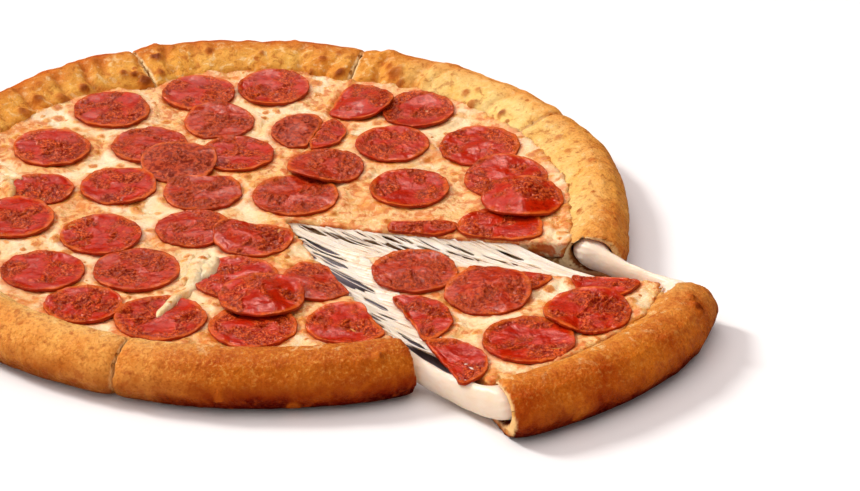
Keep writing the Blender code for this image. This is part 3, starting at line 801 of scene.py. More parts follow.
def dough_group():
    numbers = {"Lump Size": 0.02, "Lump Height": 0.0016, "Blister Size": 0.011, "Blister Height": 0.001}
    numbers |= {"Pleat Spacing": 0.019, "Pleat Depth": 0.0012, "Rim Radius": 0.178}
    numbers |= {"Centre X": 0.0, "Centre Y": 0.0}
    group, given, result = geometry_group("baked_dough", numbers)
    place = wire(group, "GeometryNodeInputPosition")
    centre = combined(group, given["Centre X"], given["Centre Y"])
    x, y, level = parts_of(vectors("SUBTRACT", place, centre))
    inward, crumb, placed, fold = (named(group, n) for n in ("inward", "crumb", "blister", "fold"))

    lumps = (noise_of(place, given["Lump Size"]) - 0.5) * given["Lump Height"]
    small = (noise_of(place, 0.0065) - 0.5) * (given["Lump Height"] * 0.4)
    blister = domes(place, given["Blister Size"], 0.42, 0.12) * ramp(noise_of(place, 0.03), 0.54, 0.68)
    rough = ramp(noise_of(place, 0.003), 0.3, 0.7, 0.6, 1.4)
    blisters = blister * given["Blister Height"] + placed * rough * 0.0017

    around = maths("ARCTAN2", y, x) * given["Rim Radius"] / given["Pleat Spacing"]
    wave = noise_of(combined(group, around, inward * 1.1), 1.0, 1.0)
    on_slope = ramp(inward, 0.3, 0.55) * ramp(inward, 1.15, 0.95)
    here_and_there = ramp(noise_of(place, 0.04), 0.42, 0.62)
    pleat = ramp(maths("ABSOLUTE", wave - 0.5), 0.08, 0.0) * on_slope * here_and_there
    pleats = pleat * given["Pleat Depth"] + fold * 0.0029

    grounded = ramp(level, 0.0006, 0.005)
    height = (lumps + small + blisters - pleats) * grounded * (1.0 - crumb * 0.8)
    spotty = ramp(noise_of(place, 0.014), 0.56, 0.72)
    browned = largest(blister * spotty, placed, fold * 0.4)
    geometry = store(given["Geometry"], "browned", browned)
    return close_tree(group, given, result, push_out(geometry, height))


DOUGH_TREE = dough_group()
print("dough tree:", len(DOUGH_TREE.nodes), "nodes")

# %% [markdown]
# One loop makes all the slices of dough. The crust at the back is pale and pleated, the crust in front is
# smooth and fine grained, so the depth of the pleats and blisters depends on which way a slice faces.

# %% Slices of dough
CRUST_VOXEL = 1.35 * MM
CRUST_BREADTH = 36 * MM
INNER_CRUMB = (0.72, 0.93)  # how squarely a face looks along the rim before it counts as cut
# Large blisters: degrees round the pizza, mm from its middle, mm across, how dark from 0 to 1.
BLISTERS = (
    (137.6, 152, 8, 0.6), (127.8, 146, 7, 0.8), (133.2, 146, 9, 0.4), (118.1, 146, 5, 0.7),
    (109.8, 153, 8, 1.0), (110.4, 141, 6, 0.7), (114.6, 138, 10, 0.9), (116.2, 143, 6, 0.8),
    (98.6, 154, 7, 0.6), (105.7, 161, 6, 0.4), (143.0, 149, 8, 0.5), (147.0, 143, 7, 0.4),
    (74.8, 147, 6, 0.6), (70.0, 138, 7, 0.9), (76.8, 139, 4, 0.6), (72.0, 153, 6, 0.3),
    (58.2, 145, 12, 0.5), (56.0, 140, 7, 0.6), (60.2, 149, 6, 0.4), (37.4, 144, 7, 0.4),
    (29.7, 148, 5, 0.8), (40.7, 148, 6, 0.3), (39.1, 153, 5, 0.3), (-8.3, 163, 3, 0.8),
    (-11.5, 151, 4, 0.6), (-13.6, 157, 4, 0.6), (-30.8, 180, 7, 0.9), (-29.4, 176, 5, 0.7),
    (-39.2, 158, 4, 0.8), (-33.5, 159, 4, 0.5), (-72.9, 168, 4, 0.8), (-78.4, 148, 6, 0.7),
    (-96.0, 171, 5, 0.3), (-124.0, 172, 6, 0.4), (172.0, 162, 9, 0.4), (163.0, 152, 7, 0.5),
    (14.0, 158, 6, 0.3), (3.0, 166, 7, 0.25), (88.0, 150, 5, 0.3), (155.0, 158, 8, 0.4),
)
# Folds down the inner slope: degrees round the pizza, and how deep from 0 to 1.
FOLDS = ((146, 0.5), (138.8, 0.9), (130.6, 0.8), (124.4, 1.0), (120.6, 0.6), (107.4, 0.7), (101.5, 0.4),
         (79.2, 0.5), (61.8, 0.5), (53.0, 0.6), (33.0, 0.5), (18.0, 0.3), (154.0, 0.6), (166.0, 0.5))
FOLD_WIDTH = 2.6 * MM
BLISTERS_ABOVE = 8 * MM  # the foot of the crust has none
PULLED_PART = (-45, -27)  # degrees round the pizza between which the blisters are the pulled slice's
# The front value paints a slice darker: deeper baking and painted shade.
PULLED_FRONT = 0.65  # how dark the pulled slice is, where the front crust is 1 and the back crust 0
# Parts of the rim painted paler as painted light, in degrees: from, fully from, fully to, and to.
PAINTED_LIGHT_PARTS = ((-45, -8, 42, 62), (-178, -160, -112, -92))


def bake_crust(node):
    piece = fine_skin(node, "baked_" + node, CRUST_VOXEL, 5)
    mesh = piece.data
    points, normals = numbers_of(mesh, "co"), numbers_of(mesh, "normal")
    pulled = node == "crust_pulled_slice"
    shift = np.array(PULL) if pulled else np.zeros(3)
    own = points - shift
    reach = np.hypot(own[:, 0], own[:, 1])
    turns = np.degrees(np.arctan2(own[:, 1], own[:, 0]))
    along = np.abs(normals[:, 1] * own[:, 0] - normals[:, 0] * own[:, 1]) / reach
    inward = inward_of(points, shift) / CRUST_BREADTH
    carry(mesh, "inward", inward)
    carry(mesh, "crumb", step(along, *INNER_CRUMB) * step(points[:, 2], 0.3 * MM, 1.5 * MM))
    blister = np.zeros(len(points))
    for angle, radius, breadth, dark in BLISTERS:
        if pulled != (PULLED_PART[0] < angle < PULLED_PART[1]):
            continue
        turn = math.radians(angle)
        middle = Vector((math.cos(turn), math.sin(turn))) * radius * MM
        away = np.hypot(own[:, 0] - middle.x, own[:, 1] - middle.y)
        near = away < breadth * MM
        wobble = np.array([noise.noise(Vector(p) / (3 * MM)) for p in points[near]])
        away = away[near] * (1 + 0.35 * wobble)
        dome = (1 - step(away, 0.15 * breadth * MM, 0.62 * breadth * MM)) * (0.35 + 0.65 * dark)
        blister[near] = np.maximum(blister[near], dome)
    carry(mesh, "blister", blister * (points[:, 2] > BLISTERS_ABOVE))
    fold = np.zeros(len(points))
    for angle, depth in FOLDS:
        bend = np.radians((turns - angle + 180) % 360 - 180) * reach + 2 * MM * np.sin(reach / (5 * MM))
        fold = np.maximum(fold, depth * np.exp(-((bend / FOLD_WIDTH) ** 2)))
    carry(mesh, "fold", fold * step(inward, 0.2, 0.5) * (1 - step(inward, 0.95, 1.1)))
    low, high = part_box(node)
    back = float(step((low.y + high.y) / 2, -0.05, 0.09))
    carry(mesh, "front", np.full(len(points), PULLED_FRONT if pulled else 1 - back))
    # Painted light: these parts of the rim get paler colours in the crust finish.
    painted_light_parts = [step(turns, a, b) * (1 - step(turns, c, d)) for a, b, c, d in PAINTED_LIGHT_PARTS]
    carry(mesh, "light", np.maximum(*painted_light_parts))
    values = {"lump_height": 0.0024 + 0.0014 * back, "blister_height": 0.0006 + 0.0008 * back}
    values |= {"pleat_depth": 0.0003 + 0.0013 * back, "centre_x": shift[0], "centre_y": shift[1]}
    grow(piece, DOUGH_TREE, FINISHES["crust"], **values)
    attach(piece, "root")
    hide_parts(node)
    return piece


crusts = [bake_crust(node) for node in ALL_CRUSTS]
print("faces of dough:", sum(len(c.data.polygons) for c in crusts))

# %% [markdown]
# Melted cheese lies in soft folds, sags between the rounds of sausage and climbs a little up the crust.
# Where it met the heat it bubbled. The tree pushes the surface up and down with three sizes of noise,
# raises the bubbles, and pulls the outer edge out over the crust so that no gap shows between them.

# %% Cheese tree


def cheese_group():
    numbers = {"Fold Size": 0.013, "Fold Height": 0.0026, "Shred Height": 0.0016, "Bubble Height": 0.0008}
    numbers |= {"Lift": 0.0003, "Creep": 0.0026, "Lip": 0.0009, "Centre X": 0.0, "Centre Y": 0.0}
    group, given, result = geometry_group("melted_topping", numbers)
    place = wire(group, "GeometryNodeInputPosition")
    upward = parts_of(wire(group, "GeometryNodeInputNormal"))[2]
    folds = (noise_of(place, given["Fold Size"], 3.0) - 0.5) * given["Fold Height"]
    bend = noise_of(place, 0.008) * 6.3
    drift = scaled(combined(group, maths("COSINE", bend), maths("SINE", bend)), 0.003)
    shreds = (noise_of(vectors("ADD", place, drift), 0.0045) - 0.5) * given["Shred Height"]
    bubble = domes(place, 0.009, 0.36, 0.08) * ramp(noise_of(place, 0.022), 0.5, 0.6)
    oil = named(group, "oil")
    bank = oil * (1.0 - oil) * 4.0 * given["Lip"]
    height = folds + shreds + bubble * given["Bubble Height"] + given["Lift"] + bank

    centre = combined(group, given["Centre X"], given["Centre Y"])
    own = vectors("MULTIPLY", vectors("SUBTRACT", place, centre), (1, 1, 0))
    way = vectors("ADD", vectors("NORMALIZE", own), (0, 0, 0.45))
    ragged = ramp(noise_of(place, 0.009, 3.0), 0.3, 0.75, 0.75, 1.7)
    creep = scaled(way, given["Creep"] * ragged * named(group, "edge"))
    geometry = store(given["Geometry"], "bubble", bubble)
    geometry = push_out(geometry, height * ramp(upward, 0.2, 0.7))
    return close_tree(group, given, result, move(geometry, creep))


CHEESE_TREE = cheese_group()
print("cheese tree:", len(CHEESE_TREE.nodes), "nodes")

# %% [markdown]
# Two sheets of cheese: the large one over the seven slices, and the one on the slice that was pulled. Four
# numbers are measured at every point first: how near the crust is, how near the closest sausage is, whose
# oil has tinted the cheese, how near a browned patch is, and how near the torn edge of the gap is.

# %% Sheets of cheese
CHEESE_VOXEL = 1.15 * MM
EDGE_REACH = 5 * MM
OIL_REACH = 7 * MM
TORN_REACH = 6 * MM
# Patches where the cheese has browned in a crust of its own: level place in mm, and breadth in mm.
GRATIN_PATCHES = ((-90, 1, 16), (56, -10, 14), (-45, -39, 10), (-122, 77, 15), (-104, -94, 11), (90, 37, 9),
                  (158, -134, 10), (105, 28, 7), (-12, 136, 9), (143, -42, 9), (145, 25, 10), (-20, -133, 9),
                  (91, -168, 9), (80, -25, 9), (103, -35, 8), (30, -8, 6))
slopes = tree_over(ALL_CRUSTS, above=10 * MM)
sausages = tree_over(ALL_PEPPERONI)


def distance_to_line(points, start, end):
    """Level distance of each point from the stretch between two places."""
    run = np.array(end - start)[:2]
    away = points[:, :2] - np.array(start)[:2]
    share = np.clip(away @ run / (run @ run), 0, 1)
    return np.linalg.norm(away - share[:, None] * run, axis=1)


def melt_cheese(node, shift):
    piece = fine_skin(node, "melted_" + node, CHEESE_VOXEL, 4)
    mesh = piece.data
    points = numbers_of(mesh, "co")
    places = [Vector(p) for p in points]
    carry(mesh, "edge", 1 - step(distances(slopes, places, EDGE_REACH), 0.5 * MM, EDGE_REACH))
    carry(mesh, "oil", 1 - step(distances(sausages, places, OIL_REACH), 0.3 * MM, OIL_REACH))
    gratin = np.zeros(len(points))
    for x, y, breadth in GRATIN_PATCHES:
        away = np.hypot(points[:, 0] - x * MM, points[:, 1] - y * MM)
        gratin = np.maximum(gratin, 1 - step(away, 0.4 * breadth * MM, breadth * MM))
    carry(mesh, "gratin", gratin)
    ends = (LEFT_CUT_END + shift, RIGHT_CUT_END + shift)
    near = np.minimum(*(distance_to_line(points, GAP_POINT + shift, end) for end in ends))
    side = 1 - step(numbers_of(mesh, "normal")[:, 2], 0.3, 0.8)
    carry(mesh, "torn", (1 - step(near, 1.0 * MM, TORN_REACH)) * (0.45 + 0.55 * side))
    grow(piece, CHEESE_TREE, FINISHES["cheese"], centre_x=shift.x, centre_y=shift.y)
    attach(piece, "root")
    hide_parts(node)
    return piece


topping = melt_cheese("cheese_top", Vector((0, 0, 0)))
pulled_topping = melt_cheese("cheese_pulled_slice", PULL)
print("faces of cheese:", len(topping.data.polygons), len(pulled_topping.data.polygons))

# %% [markdown]
# A slice of sausage is a thin round that curls as it bakes. The solid gives its outline and its place. A
# smooth closed curve through the outline's corners makes it round again, and rings of points fill it. The
# heights come from the solid's top, smoothed, with a soft dome and a crease of its own. Then the round is
# laid down: it may not sink into the cheese, nor into a round below that is already finished.

# %% Rounds of sausage
SPOKES_EACH = 9  # new points for each corner of the solid's outline
RING_COUNT = 26
BOTTOM_RINGS = (1.0, 0.75, 0.4)
SMOOTHINGS = 60
SETTLINGS = 10
ROUND_THICKNESS = 1.45 * MM
BEDDING = 0.7 * MM  # how far a round has sunk into the cheese
LAY_GAP = 0.2 * MM  # kept between a round and what lies under it
RIM_BULGE = 0.25 * MM
WALL_RIM = 1.1  # the number that marks the wall of a round, where its top counts from 0 to 1
WALL_RINGS = ((0.25, 0.6), (0.55, 1.0), (0.85, 0.6))  # shares of the thickness and of the bulge
RING_CROWDING = 1.15  # above 1 the rings lie closer together towards the rim
LOOK_INSIDE = 0.955  # heights are read a little inside the solid's edge, where its top is sure to be hit
DOME_HEIGHT = (0.2 * MM, 1.9 * MM)
CREASE_HEIGHT = (-0.3 * MM, 1.5 * MM)
CREASE_WIDTH = 4.5 * MM
# Rounds that have baked darker and drier than the rest: from 0, wet and red, to 1.
DRY_ROUNDS = {"03": 0.5, "05": 0.3, "06": 1.0, "11": 0.5, "12": 0.3, "15": 0.2, "17": 0.3, "22": 0.3}
DRY_ROUNDS |= {"28": 0.9, "31": 0.4, "32": 0.5, "38": 0.3, "40": 0.6, "41": 0.5}


def chance(label, turn):
    """A number from 0 to 1 that belongs to a round, so each is its own and every run is the same."""
    return (math.sin(int(label) * 12.9898 + turn * 78.233) * 43758.5453) % 1.0


def between_ends(ends, share):
    return ends[0] + (ends[1] - ends[0]) * share


def search_tree(mesh):
    return BVHTree.FromPolygons([v.co for v in mesh.vertices], [tuple(f.vertices) for f in mesh.polygons])


def top_at(tree, x, y):
    """Height of the topmost face of a tree at a level place."""
    hit = tree.ray_cast(Vector((x, y, 0.1)), Vector((0, 0, -1)))[0]
    return hit.z if hit else None


def outline_of(mesh):
    """The level outline of a solid disc, as corners in order round its middle."""
    ring = {}
    for face in mesh.polygons:
        if abs(face.normal.z) < 0.4:
            for i in face.vertices:
                place = mesh.vertices[i].co.xy
                ring[tuple(round(v / (0.05 * MM)) for v in place)] = place.copy()
    middle = sum(ring.values(), Vector((0, 0))) / len(ring)
    return sorted(ring.values(), key=lambda p: math.atan2((p - middle).y, (p - middle).x)), middle


def on_curve(a, b, c, d, t):
    """A place on the smooth curve that leads from b to c. It is at b where t is 0 and at c where t is 1."""
    bend = 2 * a - 5 * b + 4 * c - d
    twist = 3 * b - a - 3 * c + d
    return (2 * b + (c - a) * t + bend * t**2 + twist * t**3) / 2


def round_off(corners, each):
    """A smooth closed curve through corners, with a number of points for each."""
    curve = []
    for i in range(len(corners)):
        four = [corners[(i + k) % len(corners)] for k in (-1, 0, 1, 2)]
        curve += [on_curve(*four, j / each) for j in range(each)]
    return curve


class Round:
    """What is measured on the solid of one slice of sausage."""

    def __init__(self, node):
        solid = merged_mesh(node)
        self.label = node.split("_")[1]
        corners, self.middle = outline_of(solid)
        self.curve = round_off(corners, SPOKES_EACH)
        self.tree = search_tree(solid)
        self.reach = max((c - self.middle).length for c in corners)
        self.under = []

    def lies_over(self, other):
        """True where the two overlap and this one is the higher."""
        if (self.middle - other.middle).length > self.reach + other.reach:
            return False
        gaps = []
        for edge in other.curve[::4]:
            for share in (0.5, 0.8, 0.97):
                place = other.middle.lerp(edge, share)
                mine, theirs = top_at(self.tree, *place), top_at(other.tree, *place)
                if mine is not None and theirs is not None:
                    gaps.append(mine - theirs)
        return bool(gaps) and sum(gaps) > 0


measured = {node: Round(node) for node in ALL_PEPPERONI}
for own in measured.values():
    own.under = [other.label for other in measured.values() if other is not own and own.lies_over(other)]
laying_order = []
waiting = sorted(measured.values(), key=lambda r: r.label)
while waiting:
    laid = {r.label for r in laying_order}
    free = [r for r in waiting if set(r.under) <= laid] or waiting[:1]
    laying_order += free
    waiting = [r for r in waiting if r not in free]
print("rounds that lie on others:", sum(bool(r.under) for r in laying_order))

# %% [markdown]
# The heights are a grid: one row for each ring, one column for each spoke. Smoothing it is a few sums of
# the grid with itself, shifted by one.

# %% Laying a round down


def smoothed(level, floor_level=None):
    """One step of smoothing, never below a floor."""
    around = (np.roll(level, 1, axis=1) + np.roll(level, -1, axis=1)) / 2
    inner = np.vstack([np.full((1, level.shape[1]), level[0].mean()), level[:-1]])
    outer = np.vstack([level[1:], level[-1:]])
    calm = (around + (inner + outer) / 2) / 2
    return calm if floor_level is None else np.maximum(calm, floor_level)


def sausage_mesh(own, below):
    """The closed mesh of one round, laid on the finished pieces below it."""
    middle, curve = own.middle, own.curve
    spokes = len(curve)
    shares = [1 - (1 - ring / RING_COUNT) ** RING_CROWDING for ring in range(1, RING_COUNT + 1)]
    plan = np.array([[middle.lerp(edge, share) for edge in curve] for share in shares])
    looked = np.array([[middle.lerp(edge, share * LOOK_INSIDE) for edge in curve] for share in shares])
    level = np.array([[top_at(own.tree, *at) for at in ring] for ring in looked], dtype=float)
    level = np.where(np.isnan(level), np.nanmean(level), level) - BEDDING
    for _ in range(SMOOTHINGS):
        level = smoothed(level)
    away = plan - np.array(middle)
    lean = (chance(own.label, 1) - 0.5) * 1.3
    offset = (chance(own.label, 2) - 0.4) * 9 * MM
    bend = 2 * MM * np.sin(away[..., 0] / (6 * MM) + 6 * chance(own.label, 5))
    beside = away[..., 1] * math.cos(lean) - away[..., 0] * math.sin(lean) - offset + bend
    inside = 1 - np.array(shares)[:, None] ** 3
    level = level + between_ends(DOME_HEIGHT, chance(own.label, 3)) * (inside - 0.35)
    crease = np.exp(-((beside / CREASE_WIDTH) ** 2)) * inside
    level = level + between_ends(CREASE_HEIGHT, chance(own.label, 4)) * crease
    rest_on = np.full(level.shape, -1.0)
    for tree, gap in below:
        found = np.array([[top_at(tree, *at) for at in ring] for ring in plan], dtype=float)
        rest_on = np.fmax(rest_on, found + gap)
    level = np.maximum(level, rest_on)
    for _ in range(SETTLINGS):
        level = smoothed(level, rest_on)
    points = [(middle.x, middle.y, level[0].mean())]
    rims = [0.0]
    for share, ring, levels in zip(shares, plan, level):
        points += [(x, y, z) for (x, y), z in zip(ring, levels)]
        rims += [share] * spokes
    faces = [(0, 1 + k, 1 + (k + 1) % spokes) for k in range(spokes)]
    for depth, bulge in WALL_RINGS:
        for (x, y), z in zip(plan[-1], level[-1]):
            out = (Vector((x, y)) - middle).normalized() * RIM_BULGE * bulge
            points.append((x + out.x, y + out.y, z - ROUND_THICKNESS * depth))
        rims += [WALL_RIM] * spokes
    for share in BOTTOM_RINGS:
        row = min(RING_COUNT - 1, round(share * RING_COUNT) - 1)
        for (x, y), z in zip(plan[row], level[row]):
            points.append((x, y, z - ROUND_THICKNESS))
        rims += [share] * spokes
    points.append((middle.x, middle.y, points[0][2] - ROUND_THICKNESS))
    rims.append(0.0)
    rows = (len(points) - 2) // spokes
    for row in range(rows - 1):
        for k in range(spokes):
            near, far = 1 + row * spokes, 1 + (row + 1) * spokes
            faces.append((near + k, far + k, far + (k + 1) % spokes, near + (k + 1) % spokes))
    last = 1 + (rows - 1) * spokes
    faces += [(len(points) - 1, last + (k + 1) % spokes, last + k) for k in range(spokes)]
    mesh = bpy.data.meshes.new("round_" + own.label)
    mesh.from_pydata(points, [], faces)
    carry(mesh, "rim", rims)
    carry(mesh, "tone", [DRY_ROUNDS.get(own.label, 0.0)] * len(points))
    return mesh


print("points round one slice of sausage:", len(laying_order[0].curve))

# %% [markdown]
# The last touch on a round is its wrinkles, and they follow a rule too: a long soft wave, finer wrinkles
# over it that run one way on each round, and a rim that stands up a little and is not quite even.

# %% Sausage tree


def sausage_group():
    numbers = {"Wave Size": 0.010, "Wave Height": 0.0018, "Wrinkle Size": 0.0052, "Wrinkle Height": 0.0011}
    numbers |= {"Wrinkle Turn": 0.0, "Rim Lift": 0.0008, "Rim Wobble": 0.0022}
    group, given, result = geometry_group("wrinkled_sausage", numbers)
    place = wire(group, "GeometryNodeInputPosition")
    rim = named(group, "rim")
    waves = (noise_of(place, given["Wave Size"]) - 0.5) * given["Wave Height"]
    turning = {"Vector": place, "Angle": given["Wrinkle Turn"]}
    turned = wire(group, "ShaderNodeVectorRotate", turning, rotation_type="Z_AXIS")
    drawn_out = vectors("MULTIPLY", turned, (0.45, 1.0, 1.0))
    fine = noise_of(drawn_out, given["Wrinkle Size"], 3.0, distortion=1.2)
    patchy = ramp(noise_of(place, 0.013), 0.43, 0.57, 0.08, 1.0)
    valley = ramp(maths("ABSOLUTE", fine - 0.5), 0.1, 0.0) * patchy
    uneven = ramp(noise_of(place, 0.011), 0.3, 0.7)
    lift = ramp(rim, 0.7, 1.0) * uneven * given["Rim Lift"]
    height = (waves - valley * given["Wrinkle Height"]) * ramp(rim, 1.0, 0.82, 0.25, 1.0) + lift

    drift = noise_of(vectors("MULTIPLY", place, (1, 1, 0)), 0.007, output="Color")
    drift = vectors("MULTIPLY", vectors("SUBTRACT", drift, (0.5, 0.5, 0.5)), (1, 1, 0))
    drift = scaled(drift, ramp(rim, 0.3, 1.0) * given["Rim Wobble"])
    geometry = store(given["Geometry"], "valley", valley)
    geometry = store(geometry, "patch", patchy)
    geometry = move(geometry, vectors("ADD", drift, combined(group, z=height)))
    return close_tree(group, given, result, geometry)


SAUSAGE_TREE = sausage_group()
cheese_trees = [(search_tree(topping.data), LAY_GAP), (search_tree(pulled_topping.data), LAY_GAP)]
finished = {}
for own in laying_order:
    rounds_below = [finished[label] for label in own.under if label in finished]
    below = cheese_trees + [(tree, ROUND_THICKNESS + LAY_GAP) for tree in rounds_below]
    piece = new_piece("sausage_" + own.label, sausage_mesh(own, below))
    grow(piece, SAUSAGE_TREE, FINISHES["pepperoni"], wrinkle_turn=3.1 * chance(own.label, 6))
    finished[own.label] = search_tree(piece.data)
    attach(piece, "root")
    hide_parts("pepperoni_" + own.label)
print("faces of one round:", len(piece.data.polygons))

# %% [markdown]
# The rope of cheese inside the crust is one thick strand, drawn out where the slice left its neighbours.
# The solid already has that shape, so it gets three rounds of subdivision and a little unevenness.

# %% Rope in the crust
ROPE_LUMP_SIZE = 9 * MM
ROPE_LUMP_HEIGHT = 0.5 * MM


def rope_piece():
    piece = new_piece("rope_of_cheese", merged_mesh("crust_cheese"))
    smooth = piece.modifiers.new("round", "SUBSURF")
    smooth.levels = smooth.render_levels = 3
    settle(piece)
    points = numbers_of(piece.data, "co")
    lumps = np.array([noise.noise(Vector(p) / ROPE_LUMP_SIZE) for p in points]) * ROPE_LUMP_HEIGHT
    points += numbers_of(piece.data, "normal") * lumps[:, None]
    piece.data.vertices.foreach_set("co", points.ravel())
    carry(piece.data, "torn", np.zeros(len(points)))
    piece.data.materials.clear()
    piece.data.materials.append(FINISHES["melted_cheese"])
    piece.data.shade_smooth()
    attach(piece, "root")
    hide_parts("crust_cheese")
    return piece


rope = rope_piece()
print("faces of the rope:", len(rope.data.polygons))

# %% [markdown]
# The web between the pulled slice and the rest is cheese drawn into a torn sheet with long holes, all in
# line with the pull. A fine grid is laid from each torn edge to the slice. At every point a margin is
# measured: how far it is from the nearest hole. Cells with no margin are left out, the edges of the holes
# are smoothed, and Solidify makes the sheet thin along them and thick where cheese has melted onto it.

# %% Web of cheese
WEB_STEP_ALONG = 0.7 * MM
WEB_STEP_ACROSS = 1.0 * MM
WEB_THICKNESS = 3.4 * MM
WEB_SAG = 1.2 * MM
WEB_DEPTH = 1.2 * MM  # how far the web hangs on below the top of the cheese
WEB_OVERLAP = 0.04  # the share of the pull by which the web reaches into the cheese at both ends
STRAND_HEIGHT = 0.5 * MM
MELTED_RISE = 0.8 * MM
EDGE_SMOOTHINGS = 4
HOLE_WIDENING = 1.25  # on the breadths below, as the web hides part of each hole from the low camera
SLIT_LIMIT = 1.06  # above this the noise opens a slit
SLIT_SIZE = 1.5 * MM
SLIT_PATCH = 16 * MM  # how large the parts with many and with few slits are
FREE_MARGIN = 9 * MM  # the margin where no hole is near
THINNEST = 0.24  # the web's thickness where nothing has melted onto it, as a share of the whole
AT_HOLES = 0.45  # how much of its thickness is left at the edge of a hole
CRUST_INSET = 38 * MM
CHEESE_LEVEL = 10.4 * MM
CHEESE_RISE = 5 * MM
CHEESE_SPREAD = 144 * MM
# Holes: mm along the cut and share of the pull for both ends of the hole, and its breadth in mm.
LEFT_HOLES = (
    (15.5, 0.0, 12.5, 0.55, 4.6), (39.5, -0.1, 35.0, 0.06, 1.6), (28.0, 0.16, 24.0, 0.5, 2.6),
    (45.9, 0.10, 45.2, 0.55, 5.4), (40.5, 0.24, 39.5, 0.5, 2.2), (61.1, 0.0, 69.0, 0.1, 3.0),
    (66.7, 0.38, 65.2, 0.52, 3.6), (80.6, 0.36, 77.4, 0.55, 1.4), (103.0, 0.03, 104.1, 0.16, 3.4),
    (110.0, 0.02, 112.0, 0.08, 1.6), (100.0, 0.42, 106.0, 0.52, 4.0), (117.5, 0.30, 116.6, 0.68, 4.4),
    (53.0, 0.16, 52.0, 0.42, 1.8), (57.0, 0.05, 56.0, 0.3, 1.6), (33.0, 0.2, 32.0, 0.36, 1.2),
    (88.0, 0.2, 86.0, 0.36, 1.0), (20.0, 0.12, 19.0, 0.3, 1.0), (94.0, 0.08, 93.0, 0.22, 1.2),
)
RIGHT_HOLES = (
    (8.0, 0.08, 9.1, 0.24, 2.6), (13.0, 0.1, 14.0, 0.3, 1.8), (17.5, 0.2, 22.8, 0.45, 2.8),
    (32.1, 0.28, 38.6, 0.42, 2.6), (41.0, 0.34, 49.4, 0.52, 3.6), (56.0, 0.3, 59.0, 0.5, 1.6),
    (67.5, 0.38, 71.6, 0.52, 2.4), (82.5, 0.42, 88.5, 0.55, 2.2), (27.0, 0.12, 28.0, 0.3, 1.4),
    (47.0, 0.1, 48.0, 0.26, 1.4), (62.0, 0.08, 63.0, 0.3, 1.6), (76.0, 0.16, 77.0, 0.36, 1.4),
    (96.0, 0.2, 98.0, 0.42, 1.4), (36.0, 0.06, 37.0, 0.2, 1.2), (54.0, 0.06, 55.0, 0.2, 1.2),
)


def cheese_level(place):
    """Height of the topping at a place before the slice was pulled."""
    return CHEESE_LEVEL + CHEESE_RISE * min(place.xy.length / CHEESE_SPREAD, 1.1) ** 3


def margin_of(along, share, holes, seed):
    """How far a point of the web is from the nearest hole. It is negative inside a hole."""
    pull = PULL.length
    margin = FREE_MARGIN
    for start_along, start_share, end_along, end_share, breadth in holes:
        start = Vector((start_along * MM, start_share * pull))
        run = Vector((end_along * MM, end_share * pull)) - start
        away = Vector((along, share * pull)) - start
        part = min(max(away.dot(run) / run.length_squared, 0.0), 1.0)
        half_breadth = breadth * MM * HOLE_WIDENING * (0.35 + 0.65 * math.sin(math.pi * (0.15 + 0.7 * part)))
        margin = min(margin, (away - run * part).length - half_breadth)
    slit = noise.noise(Vector((along / SLIT_SIZE, share * 1.7, seed))) + 0.35 * math.sin(math.pi * share)
    slit += 0.3 * noise.noise(Vector((along / SLIT_PATCH, share, seed + 5)))
    open_zone = min(max((share - 0.04) / 0.1, 0), max((0.62 - share) / 0.2, 0), 1)
    return min(margin, (SLIT_LIMIT - slit * open_zone) * 1.6 * MM)


